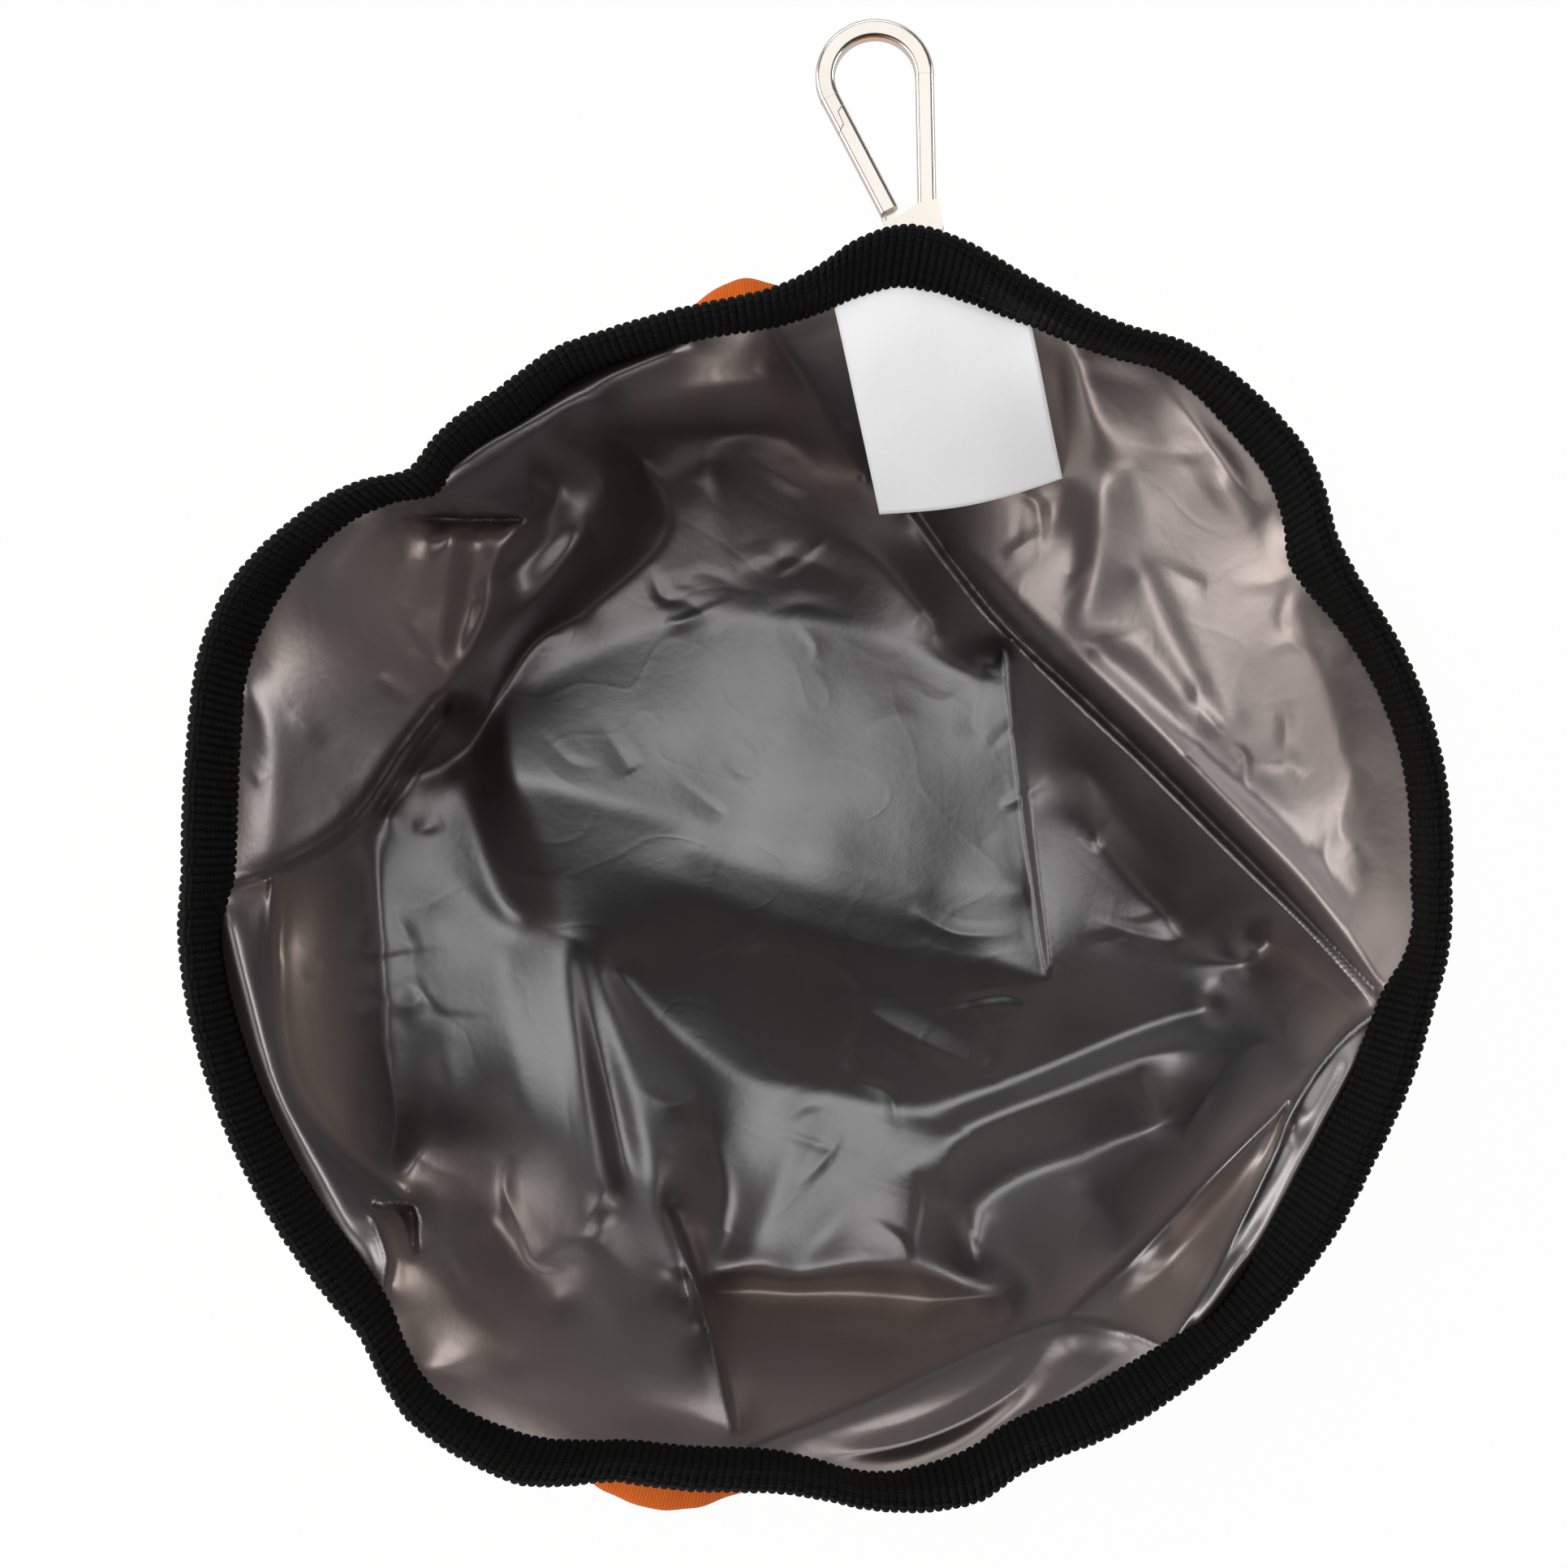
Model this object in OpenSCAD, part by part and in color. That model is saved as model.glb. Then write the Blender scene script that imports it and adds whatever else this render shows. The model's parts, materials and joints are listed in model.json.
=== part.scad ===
/* [Bowl] */
// Diameter of the mouth over the edge tape, on average
rim_d = 240; // [220:1:260]
// Diameter of the flat bottom
base_d = 190; // [175:1:200]
// Height of the mouth above the surface the bowl stands on
bowl_h = 85; // [78:1:95]
// Thickness of the outer cloth
cloth_t = 0.6; // [0.4:0.05:0.8]
// Thickness of the bottom panel, cloth with a stiff interlining
panel_t = 1.2; // [0.8:0.1:2]
// Thickness of the waterproof lining film
film_t = 0.3; // [0.2:0.05:0.4]
// Clearance between the cloth, the film and the tape
slip = 0.25; // [0.2:0.05:0.3]

/* [Edge tape] */
// Height of the ribbed tape once it is folded over the mouth
tape_h = 12.5; // [11:0.5:14]
// Thickness of one leg of the folded tape
tape_leg = 1.6; // [1.4:0.05:1.8]
// How far the cloth reaches into the fold
tuck_h = 8; // [6:0.5:9]

/* [Care label] */
// Width of the blank satin label
label_w = 38; // [30:1:42]
// Length of the label from the tape to its free end
label_l = 55; // [45:1:60]
// Thickness of the label
label_t = 0.25; // [0.2:0.05:0.4]
// How steeply the label hangs, in degrees below level
label_slope = 44; // [38:1:50]

/* [Webbing tab] */
// Width of the webbing that holds the clip
web_w = 10; // [8:0.5:10.5]
// Thickness of the webbing
web_t = 1.1; // [0.9:0.1:1.3]

/* [Swivel eye] */
// Diameter of the eye's wire
eye_wire_d = 3; // [2.6:0.1:3.2]
// Play of the webbing in the eye, at each side
eye_play = 0.5; // [0.4:0.1:0.8]
// Diameter of the collar under the hook
collar_d = 5.2; // [4.6:0.1:5.6]
// Diameter of the swivel post
post_d = 2.5; // [2.2:0.1:2.8]
// Diameter of the head that closes the post
post_head_d = 3.8; // [3.4:0.1:4]
// Thickness of that head
post_head_t = 0.8; // [0.6:0.1:0.9]

/* [Snap hook] */
// Thickness of the hook's rounded square bar
bar_t = 3.7; // [3.4:0.1:4]
// Radius of the nose, to the middle of the bar
nose_r = 9.6; // [9:0.05:10]
// Distance from the foot of the hook to the centre of the nose
nose_reach = 31.1; // [29:0.1:33]
// Half the angle between the two legs, in degrees
leg_lean = 12.85; // [12:0.05:13.5]
// Thickness of the foot of the hook
foot_t = 5.4; // [5.2:0.1:6]
// Width of the foot of the hook
foot_w = 11; // [10.6:0.1:12]
// Diameter of the gate's pin
pin_d = 1.5; // [1.3:0.1:1.6]
// Thickness of the gate's tongue in the foot
tongue_t = 1.5; // [1.3:0.1:1.6]
// Diameter of the gate spring's wire
spring_wire_d = 0.4; // [0.3:0.05:0.45]
// How many turns the gate spring has
spring_turns = 2; // [1:1:2]
// How far the gate swings in, in degrees
gate_swing = 18; // [14:1:19]

/* [Hidden] */
$fn = 48;

// Running clearance of metal in metal, and of metal in webbing
run_fit = 0.05;
web_fit = 0.1;
// Gap between two metal faces that move past each other
face_gap = 0.3;
// Length by which a cut runs past the surface it opens
overrun = 0.5;
// Length by which a straight bar runs into the curve that it goes on from
lap = 0.2;
// How much thinner a metal form is than the one that it runs into
form_step = 0.1;

// Sections round the bowl, shared by the tape, the cloth and the film
sections = 96;
rim_r = rim_d / 2;
base_r = base_d / 2;
tape_t = 2 * tape_leg + cloth_t + film_t + 3 * slip;
tape_round_share = 0.5;

// Shape of the mouth, read all round: angle in degrees, reach of the tape's outer edge as a share
// of the mouth's radius, lift as a share of the bowl's height, outward lean of the tape in degrees
rim_shape_shares = [
    [0, 0.998, -0.020, 6],
    [12, 0.999, -0.005, 5],
    [20, 0.989, 0.010, 8],
    [28, 0.972, 0.025, 15],
    [33, 0.972, 0.030, 27],
    [40, 1.015, 0.020, 18],
    [48, 1.029, 0.000, 12],
    [55, 1.024, -0.005, 3],
    [62, 0.990, 0.010, 3],
    [70, 0.996, 0.025, 12],
    [76, 1.020, 0.040, 28],
    [81, 1.035, 0.045, 40],
    [85, 1.020, 0.045, 40],
    [90, 0.962, 0.035, 18],
    [95, 0.926, 0.030, 6],
    [103, 0.918, 0.020, 2],
    [111, 0.920, 0.015, 3],
    [116, 0.929, 0.010, 9],
    [123, 0.919, 0.015, 12],
    [130, 0.920, 0.020, 4],
    [135, 0.908, 0.025, 4],
    [140, 0.961, 0.020, 4],
    [146, 1.000, 0.005, 7],
    [153, 1.035, -0.010, 20],
    [160, 1.039, -0.015, 22],
    [168, 1.018, -0.010, 25],
    [179, 1.003, -0.005, 25],
    [185, 1.008, 0.000, 12],
    [198, 1.012, 0.005, 18],
    [212, 1.014, 0.010, 21],
    [221, 1.013, 0.015, 19],
    [226, 1.018, 0.015, 8],
    [231, 1.056, 0.010, 5],
    [236, 1.069, 0.000, 7],
    [245, 1.058, 0.000, 18],
    [250, 1.004, 0.015, 8],
    [258, 0.979, 0.020, 10],
    [265, 0.963, 0.020, 8],
    [270, 0.969, 0.015, 2],
    [276, 0.998, 0.000, 2],
    [284, 1.015, -0.005, 20],
    [290, 0.984, 0.010, 18],
    [298, 0.988, 0.010, 22],
    [305, 0.988, 0.005, 20],
    [311, 0.989, 0.000, 12],
    [319, 0.991, -0.005, 26],
    [326, 0.990, -0.010, 42],
    [334, 0.983, -0.010, 38],
    [342, 0.988, -0.010, 33],
    [348, 0.991, -0.015, 24],
    [354, 1.000, -0.020, 4]
];

// How the wall leaves the bottom panel: lean in degrees, and stiffness as a share of the height
wall_foot_lean = 12;
wall_pull_share = 0.9;
// Rows of the wall from the floor to the tape, as shares of its height
wall_row_shares = [0, 0.25, 0.53, 0.8, 1];
film_row_shares = [0.03, 0.25, 0.53, 0.8, 1];
// Main folds of the outer cloth: angle, outward reach as a share of the bottom's radius, half width,
// and where up the wall it reaches furthest, as a share
cloth_fold_shares = [
    [97, 0.150, 13, 0.70],
    [79, -0.035, 13, 0.80],
    [40, 0.030, 16, 0.50],
    [135, 0.050, 12, 0.50],
    [200, -0.020, 22, 0.50],
    [256, 0.225, 19, 0.70],
    [290, 0.030, 14, 0.50],
    [330, -0.050, 18, 0.55],
    [5, -0.020, 16, 0.50]
];
// Main folds of the film: angle at the floor, depth as a share of the bottom's radius, half width,
// degrees that the fold turns up to the tape, and where up the wall it is deepest, as a share
film_fold_shares = [
    [176, 0.120, 20, -14, 0.62],
    [143, 0.110, 14, -4, 0.70],
    [120, 0.050, 12, -6, 0.70],
    [104, 0.060, 9, 4, 0.50],
    [45, 0.070, 11, 8, 0.45],
    [18, 0.090, 12, -6, 0.50],
    [350, 0.120, 12, 4, 0.55],
    [322, 0.080, 16, 2, 0.60],
    [298, 0.100, 14, 3, 0.55],
    [268, 0.060, 12, -6, 0.45],
    [248, 0.090, 12, 5, 0.50],
    [224, 0.100, 11, 8, 0.50],
    [203, 0.050, 10, 6, 0.60]
];
// Main ridges of the film on the bottom: the two ends across and along, half width, as shares of the
// bottom's radius, and the height as a share of the bowl's height
film_ridge_shares = [
    [-0.68, 0.22, 0.00, 0.02, 0.16, 0.080],
    [0.00, 0.02, 0.50, -0.08, 0.14, 0.080],
    [0.22, 0.78, 0.52, 0.42, 0.12, 0.130],
    [0.52, 0.42, 0.88, 0.08, 0.13, 0.170],
    [0.40, 0.48, 0.54, -0.24, 0.09, 0.070],
    [-0.57, -0.19, -0.45, -0.76, 0.08, 0.100],
    [-0.46, -0.26, -0.36, -0.74, 0.07, 0.090],
    [0.30, -0.60, 0.86, -0.38, 0.14, 0.100],
    [-0.30, 0.82, -0.32, 0.30, 0.16, 0.060],
    [-0.05, -0.50, 0.10, -0.84, 0.12, 0.060],
    [-0.88, 0.10, -0.66, -0.34, 0.12, 0.070]
];
film_base_sectors = 72;
film_base_rings = 7;

// Directions that the label and the clip point in, seen from above, in degrees
label_heading = -81;
label_low_angle = 69;
label_high_angle = 87.5;
label_columns = 8;
label_rows = 9;
label_seam_h = 2.5;
label_curl = 2.2;
label_bow = 1.6;
clip_heading = 103.7;
clip_droop = 8.5;

// The clip hangs outside the mouth: its eye's bar lies under the tape at this angle
eye_angle = 79.2;
eye_under_tape = 5.9;
eye_in_from_edge = 9.6;
eye_wire_r = eye_wire_d / 2;
eye_arm_r = eye_wire_r - form_step;
eye_bar_r = eye_arm_r - form_step;
eye_inner_r = web_w / 2 + eye_play;
eye_r = eye_inner_r + eye_wire_r;
web_loop_r = eye_bar_r + web_fit + web_t;
eye_arm = max(0, web_loop_r + face_gap - sqrt(pow(eye_inner_r, 2) - pow(web_w / 2, 2)));
collar_rise = 0.4;
collar_end = eye_arm + eye_r + eye_wire_r + collar_rise;
tab_grip_angle = 2.3;
tab_sewn_h = 0.8;
tab_rows = 4;

// The hook: places along it are counted from its foot's base line
foot_depth = 3;
foot_chamfer = 1.2;
foot_spine_h = 3.8;
foot_middle_h = 2.3;
foot_gate_h = 1.8;
foot_middle_y = 1.8;
foot_start = collar_end + face_gap;
hook_foot = foot_start + foot_depth;
nose_x = hook_foot + nose_reach;
bar_corner_r = 0.9;
leg_t = bar_t - form_step;
post_r = post_d / 2;
post_head_r = post_head_d / 2;
head_rise = 0.15;
head_seat = hook_foot + head_rise;
pin_r = pin_d / 2;
pin_in = 1.8;
pin_drop = 0.4;
pin_place = [hook_foot - pin_drop, foot_w / 2 - pin_in];
spring_pitch = spring_wire_d + run_fit;
slot_t = tongue_t + (spring_turns + 0.5) * spring_pitch + spring_wire_d + 6 * run_fit;
tongue_low = 2 * run_fit - slot_t / 2;
tongue_r = 1.5;
slot_r = tongue_r + face_gap;
shoulder_h = 4.3;
notch_gap = 0.15;
// The slanted joint of nose and gate: distance down the leg, and place across the bar as a share of
// half its thickness, from the inner edge to the outer one
notch_along = [2.4, 3.5, 6.2, 7.4];
notch_across_shares = [-1, 0.03, 0.11, 1];
spring_r = pin_r + spring_wire_d / 2 + 2 * run_fit;
spring_low = tongue_low + tongue_t + 2 * run_fit + spring_wire_d / 2;
spring_leg = 1.3;
spring_hole_h = 1.2;
spring_sides = 6;
spring_turn_steps = 12;

// Helpers

function mix(low, high, t) = low * (1 - t) + high * t;
function blend_curve(from, to, from_pull, to_pull, t) =
    from * (2 * t * t * t - 3 * t * t + 1) + from_pull * (t * t * t - 2 * t * t + t)
    + to * (3 * t * t - 2 * t * t * t) + to_pull * (t * t * t - t * t);
function turn_gap(a, b) = abs((a - b + 540) % 360 - 180);
function bump(gap, half) = gap < half ? (1 + cos(180 * gap / half)) / 2 : 0;
function sum(list) = len(list) == 0 ? 0 : [for (v = list) 1] * list;
function unit(v) = v / norm(v);

// Mouth of the bowl

rim_count = len(rim_shape_shares);
function rim_row(i) =
    let (turns = floor(i / rim_count))
    rim_shape_shares[i - turns * rim_count] + [360 * turns, 0, 0, 0];
function rim_trend(i) =
    (rim_row(i + 1) - rim_row(i - 1)) / (rim_row(i + 1)[0] - rim_row(i - 1)[0]);
function rim_at(a) =
    let (
        i = max([for (k = [0:rim_count - 1]) if (rim_shape_shares[k][0] <= a) k]),
        low = rim_row(i),
        high = rim_row(i + 1),
        span = high[0] - low[0]
    )
    blend_curve(low, high, rim_trend(i) * span, rim_trend(i + 1) * span, (a - low[0]) / span);

// A place in the folded tape, as radius and height: across from its outer face, up from its lower edge
function tape_up(lean) = [sin(lean), cos(lean)];
function tape_in(lean) = [-cos(lean), sin(lean)];
function tape_place(row, across, up) =
    [rim_r * row[1], bowl_h * (1 + row[2])] + (up - tape_h) * tape_up(row[3]) + across * tape_in(row[3]);
function round_the_bowl(a, place) = [place[0] * cos(a), place[0] * sin(a), place[1]];
function section_angle(i) = 360 * i / sections;

// Cloth wall: its outer face in the upright plane at one angle, share of the height from 0 to 1
function rise(s, middle) = pow(sin(180 * pow(s, ln(0.5) / ln(middle))), 2);
function cloth_fold(a, s) =
    base_r * sum([for (f = cloth_fold_shares) f[1] * bump(turn_gap(a, f[0]), f[2]) * rise(s, f[3])]);
function wall_in(row, s) = unit(mix([-1, 0], tape_in(row[3]), s));
function wall_face(a, row, s) =
    let (
        top = tape_place(row, tape_leg + slip, 0),
        pull = wall_pull_share * top[1]
    )
    blend_curve([base_r, 0], top, pull * tape_up(wall_foot_lean), pull * tape_up(row[3]), s)
    + [cloth_fold(a, s), 0];

// Film wall: distance from the cloth's outer face, wider where the film folds into the bowl
function film_depth(a, s) =
    base_r * sum([for (f = film_fold_shares) f[1] * bump(turn_gap(a, f[0] + f[3] * s), f[2]) * rise(s, f[4])]);
function film_face(a, row, s, depth) =
    let (
        first = wall_row_shares[1],
        back = s < first ? mix(wall_face(a, row, 0), wall_face(a, row, first), s / first) : wall_face(a, row, s)
    )
    back + (cloth_t + slip + depth + film_depth(a, s)) * wall_in(row, s);

// Solids

// Joins equal closed sections, one after another in a ring. Faces that lie side by side are split
// along the same diagonal, so that they keep their distance
module ring_of_sections(rows) {
    n = len(rows);
    m = len(rows[0]);
    polyhedron(
        points = [for (r = rows) each r],
        faces = [
            for (i = [0:n - 1])
                for (j = [0:m - 1])
                    let (
                        k = ((i + 1) % n) * m,
                        h = i * m,
                        l = (j + 1) % m
                    )
                    each rows[i][l][2] > rows[i][j][2]
                        ? [[h + j, k + l, k + j], [h + j, h + l, k + l]]
                        : [[h + j, h + l, k + j], [h + l, k + l, k + j]]
        ]
    );
}

// A thin sheet between two equal grids of points, one over the other
module sheet_between(upper, lower) {
    n = len(upper);
    m = len(upper[0]);
    side = n * m;
    polyhedron(
        points = [for (g = [upper, lower]) for (r = g) each r],
        faces = [
            for (i = [0:n - 2])
                for (j = [0:m - 2])
                    let (p = i * m + j)
                    each [
                        [p, p + m + 1, p + 1], [p, p + m, p + m + 1],
                        [side + p, side + p + 1, side + p + m + 1], [side + p, side + p + m + 1, side + p + m]
                    ],
            for (i = [0:n - 2])
                let (p = i * m, q = i * m + m - 1)
                each [
                    [p, side + p, side + p + m], [p, side + p + m, p + m],
                    [q, side + q + m, side + q], [q, q + m, side + q + m]
                ],
            for (j = [0:m - 2])
                let (p = j, q = (n - 1) * m + j)
                each [
                    [p, side + p + 1, side + p], [p, p + 1, side + p + 1],
                    [q, side + q, side + q + 1], [q, side + q + 1, q + 1]
                ]
        ]
    );
}

// A round wire along points, with closed ends
module wire(path, r, sides) {
    n = len(path);
    rings = [
        for (i = [0:n - 1])
            let (
                ahead = unit(path[min(i + 1, n - 1)] - path[max(i - 1, 0)]),
                across = unit(cross(ahead, [0, 0, 1])),
                above = cross(across, ahead)
            )
            [for (j = [0:sides - 1]) path[i] + r * (across * cos(360 * j / sides) + above * sin(360 * j / sides))]
    ];
    polyhedron(
        points = [for (ring = rings) each ring],
        faces = [
            [for (j = [0:sides - 1]) sides - 1 - j],
            [for (j = [0:sides - 1]) (n - 1) * sides + j],
            for (i = [0:n - 2])
                for (j = [0:sides - 1])
                    let (p = i * sides, l = (j + 1) % sides)
                    each [[p + j, p + l, p + sides + l], [p + j, p + sides + l, p + sides + j]]
        ]
    );
}

module rounded_rectangle(size, r) {
    for (x = [r - size[0] / 2, size[0] / 2 - r])
        for (y = [r - size[1] / 2, size[1] / 2 - r])
            translate([x, y]) circle(r);
    square([size[0] - 2 * r, size[1]], center = true);
    square([size[0], size[1] - 2 * r], center = true);
}

module bar_section(side) {
    rounded_rectangle([side, side], bar_corner_r);
}

// Soft pieces

module outer_base() {
    color("darkorange") cylinder(h = panel_t, r = base_r * cos(180 / sections) - cloth_t - slip, $fn = 96);
}

module outer_wall() {
    color("darkorange") ring_of_sections([
        for (i = [0:sections - 1])
            let (
                a = section_angle(i),
                row = rim_at(a),
                outer = [for (s = wall_row_shares) wall_face(a, row, s)],
                inner = [for (s = wall_row_shares) wall_face(a, row, s) + cloth_t * wall_in(row, s)],
                tuck = [for (t = [0, cloth_t]) tape_place(row, tape_leg + slip + t, tuck_h - slip)]
            )
            [for (place = concat(outer, tuck, [for (k = [len(inner) - 1:-1:0]) inner[k]])) round_the_bowl(a, place)]
    ]);
}

module lining_wall() {
    film_out = tape_leg + slip + cloth_t + slip;
    color("gray") ring_of_sections([
        for (i = [0:sections - 1])
            let (
                a = section_angle(i),
                row = rim_at(a),
                outer = [for (s = film_row_shares) film_face(a, row, s, 0)],
                inner = [for (s = film_row_shares) film_face(a, row, s, film_t)],
                tuck = [for (t = [0, film_t]) tape_place(row, film_out + t, tuck_h - slip)]
            )
            [for (place = concat(outer, tuck, [for (k = [len(inner) - 1:-1:0]) inner[k]])) round_the_bowl(a, place)]
    ]);
}

// Distance from a point to a stretch between two others, all flat
function stretch_gap(p, from, to) =
    let (t = max(0, min(1, (p - from) * (to - from) / ((to - from) * (to - from)))))
    norm(p - mix(from, to, t));

function film_lift(p) =
    bowl_h * sum([
        for (f = film_ridge_shares)
            let (gap = stretch_gap(p / base_r, [f[0], f[1]], [f[2], f[3]]))
            f[5] * pow(max(0, 1 - gap / f[4]), 1.4)
    ]) * max(0, 1 - pow(norm(p) / base_r, 6));

module lining_base() {
    edge_r = base_r - cloth_t - 2 * slip - 2 * film_t;
    n = film_base_sectors;
    m = film_base_rings;
    side = 1 + n * m;
    plan = [
        [0, 0],
        for (k = [1:m])
            for (i = [0:n - 1])
                edge_r * k / m * [cos(360 * i / n), sin(360 * i / n)]
    ];
    low = [for (p = plan) [p[0], p[1], panel_t + slip + film_lift(p)]];
    color("gray") polyhedron(
        points = concat([for (p = low) p + [0, 0, film_t]], low),
        faces = [
            for (i = [0:n - 1])
                let (k = (i + 1) % n)
                each [
                    [0, 1 + k, 1 + i],
                    [side, side + 1 + i, side + 1 + k],
                    for (j = [0:m - 2])
                        let (
                            p = 1 + j * n + i,
                            q = 1 + j * n + k
                        )
                        each [
                            [p, q, q + n], [p, q + n, p + n],
                            [side + p, side + q + n, side + q], [side + p, side + p + n, side + q + n]
                        ],
                    [side - n + i, side - n + k, 2 * side - n + k],
                    [side - n + i, 2 * side - n + k, 2 * side - n + i]
                ]
        ]
    );
}

// The folded tape: two legs with a slot for the cloth and the film, and a round fold on top
module rim_binding() {
    round_r = tape_t * tape_round_share;
    leg_in = tape_t - tape_leg;
    section = [
        [0, 0], [tape_leg, 0], [tape_leg, tuck_h], [leg_in, tuck_h], [leg_in, 0], [tape_t, 0],
        [tape_t, tape_h - round_r], [tape_t - round_r * (1 - sin(45)), tape_h - round_r * (1 - cos(45))],
        [round_r * (1 - sin(45)), tape_h - round_r * (1 - cos(45))], [0, tape_h - round_r]
    ];
    color("black") ring_of_sections([
        for (i = [0:sections - 1])
            let (row = rim_at(section_angle(i)))
            [
                for (k = [len(section) - 1:-1:0])
                    round_the_bowl(section_angle(i), tape_place(row, section[k][0], section[k][1]))
            ]
    ]);
}

// The label is sewn under the tape's inner leg along the curve of the mouth and hangs to a straight end
module care_label() {
    along = [
        cos(label_heading) * cos(label_slope), sin(label_heading) * cos(label_slope), -sin(label_slope)
    ];
    across = [sin(label_heading), -cos(label_heading), 0];
    face = cross(along, across);
    seam = [
        for (j = [0:label_columns])
            let (a = mix(label_high_angle, label_low_angle, j / label_columns))
            round_the_bowl(a, tape_place(rim_at(a), tape_t, label_seam_h))
    ];
    middle = seam[label_columns / 2];
    grid = [
        for (i = [0:label_rows])
            [
                for (j = [0:label_columns])
                    let (
                        t = i / label_rows,
                        side = 2 * j / label_columns - 1,
                        low_end = middle + along * label_l - across * side * label_w / 2
                    )
                    mix(seam[j], low_end, t)
                    + face * (label_bow * sin(180 * t) + label_curl * t * t * side * side)
            ]
    ];
    color("white") sheet_between(
        [for (r = grid) [for (p = r) p + face * label_t]],
        grid
    );
}

// Clip

// Everything on the clip is drawn with the eye's bar at the middle, the hook along x and its face up
eye_row = rim_at(eye_angle);
eye_place = tape_place(eye_row, 0, 0);
eye_middle = [
    (rim_r * eye_row[1] - eye_in_from_edge) * cos(eye_angle),
    (rim_r * eye_row[1] - eye_in_from_edge) * sin(eye_angle),
    eye_place[1] - eye_under_tape
];

module place_clip() {
    translate(eye_middle) rotate([0, 0, clip_heading]) rotate([0, clip_droop, 0]) children();
}

// The webbing goes round the eye's bar, and its two ends run up under the outer leg of the tape
module hook_tab() {
    loop_r = web_loop_r - web_t;
    bar_way = [-sin(clip_heading), cos(clip_heading), 0];
    out_way = [cos(clip_heading), sin(clip_heading), 0];
    function ply(side, across, out) = [
        for (i = [0:tab_rows])
            let (
                a = eye_angle + side * tab_grip_angle,
                low = eye_middle + bar_way * side * web_w / 2 + out_way * out * web_t + [0, 0, loop_r],
                high = round_the_bowl(a, tape_place(rim_at(a), across, tab_sewn_h))
            )
            mix(low, high, i / tab_rows)
    ];
    out_plies = [ply(1, tape_leg - 2 * web_t, 1), ply(-1, tape_leg - 2 * web_t, 1)];
    in_plies = [ply(1, tape_leg - run_fit, -1), ply(-1, tape_leg - run_fit, -1)];
    color("dimgray") difference() {
        union() {
            translate(eye_middle) rotate([90, 0, clip_heading])
                cylinder(h = web_w, r = web_loop_r, center = true);
            sheet_between(out_plies, in_plies);
        }
        translate(eye_middle) rotate([90, 0, clip_heading])
            cylinder(h = web_w + 2 * overrun, r = loop_r, center = true);
    }
}

// The eye is bent from wire into a half ring on a straight bar; its post turns in the hook's foot
module swivel_eye() {
    color("gainsboro") place_clip() {
        translate([eye_arm, 0, 0]) rotate([0, 0, -90]) rotate_extrude(angle = 180)
            translate([eye_r, 0]) circle(eye_wire_r);
        rotate([90, 0, 0]) cylinder(h = 2 * eye_r, r = eye_bar_r, center = true);
        for (side = [-1, 1])
            translate([-eye_wire_r, side * eye_r, 0]) rotate([0, 90, 0])
                cylinder(h = eye_wire_r + eye_arm + lap, r = eye_arm_r);
        translate([eye_arm + eye_r, 0, 0]) rotate([0, 90, 0]) {
            cylinder(h = collar_end - eye_arm - eye_r, d = collar_d);
            cylinder(h = head_seat + post_head_t / 2 - eye_arm - eye_r, r = post_r);
        }
        translate([head_seat, 0, 0]) rotate([0, 90, 0]) cylinder(h = post_head_t, r = post_head_r);
    }
}

// A place on one of the hook's legs: side 1 is the gate's and -1 the spine's, distance down the leg
// from the nose's curve, and distance out from the middle of the bar
function leg_place(side, along, out) =
    [nose_x, 0] + (nose_r + out) * [-sin(leg_lean), side * cos(leg_lean)]
    - along * [cos(leg_lean), side * sin(leg_lean)];
function leg_length(height) = (nose_x - nose_r * sin(leg_lean) - hook_foot - height) / cos(leg_lean);

module leg_bar(side, along, length) {
    translate(leg_place(side, along, 0)) rotate([0, 0, side * leg_lean]) rotate([0, -90, 0])
        linear_extrude(length) bar_section(leg_t);
}

// The joint's outline, moved to one side by half the gap and closed beyond the bar at its far end
module notch_side(move, far) {
    half = bar_t / 2;
    line = [
        for (k = [0:len(notch_along) - 1])
            leg_place(1, notch_along[k] - move * notch_gap / 2, notch_across_shares[k] * half + move * notch_gap / 2)
    ];
    inner = leg_place(1, notch_along[0] - move * notch_gap / 2, -half - overrun);
    outer = leg_place(1, notch_along[len(notch_along) - 1] - move * notch_gap / 2, half + overrun);
    linear_extrude(bar_t + 2 * overrun, center = true)
        polygon(concat([inner], line, [outer, leg_place(1, far, half + overrun), leg_place(1, far, -half - overrun)]));
}

module foot_outline() {
    half = foot_w / 2;
    polygon([
        [foot_start, -half + foot_chamfer], [foot_start + foot_chamfer, -half],
        [hook_foot + foot_spine_h, leg_place(-1, leg_length(foot_spine_h), bar_t / 2 + face_gap)[1]],
        [hook_foot + foot_spine_h, leg_place(-1, leg_length(foot_spine_h), -bar_t / 2 - face_gap)[1]],
        [hook_foot + foot_middle_h, foot_middle_y],
        [hook_foot + foot_gate_h, half], [foot_start + foot_chamfer, half], [foot_start, half - foot_chamfer]
    ]);
}

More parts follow.
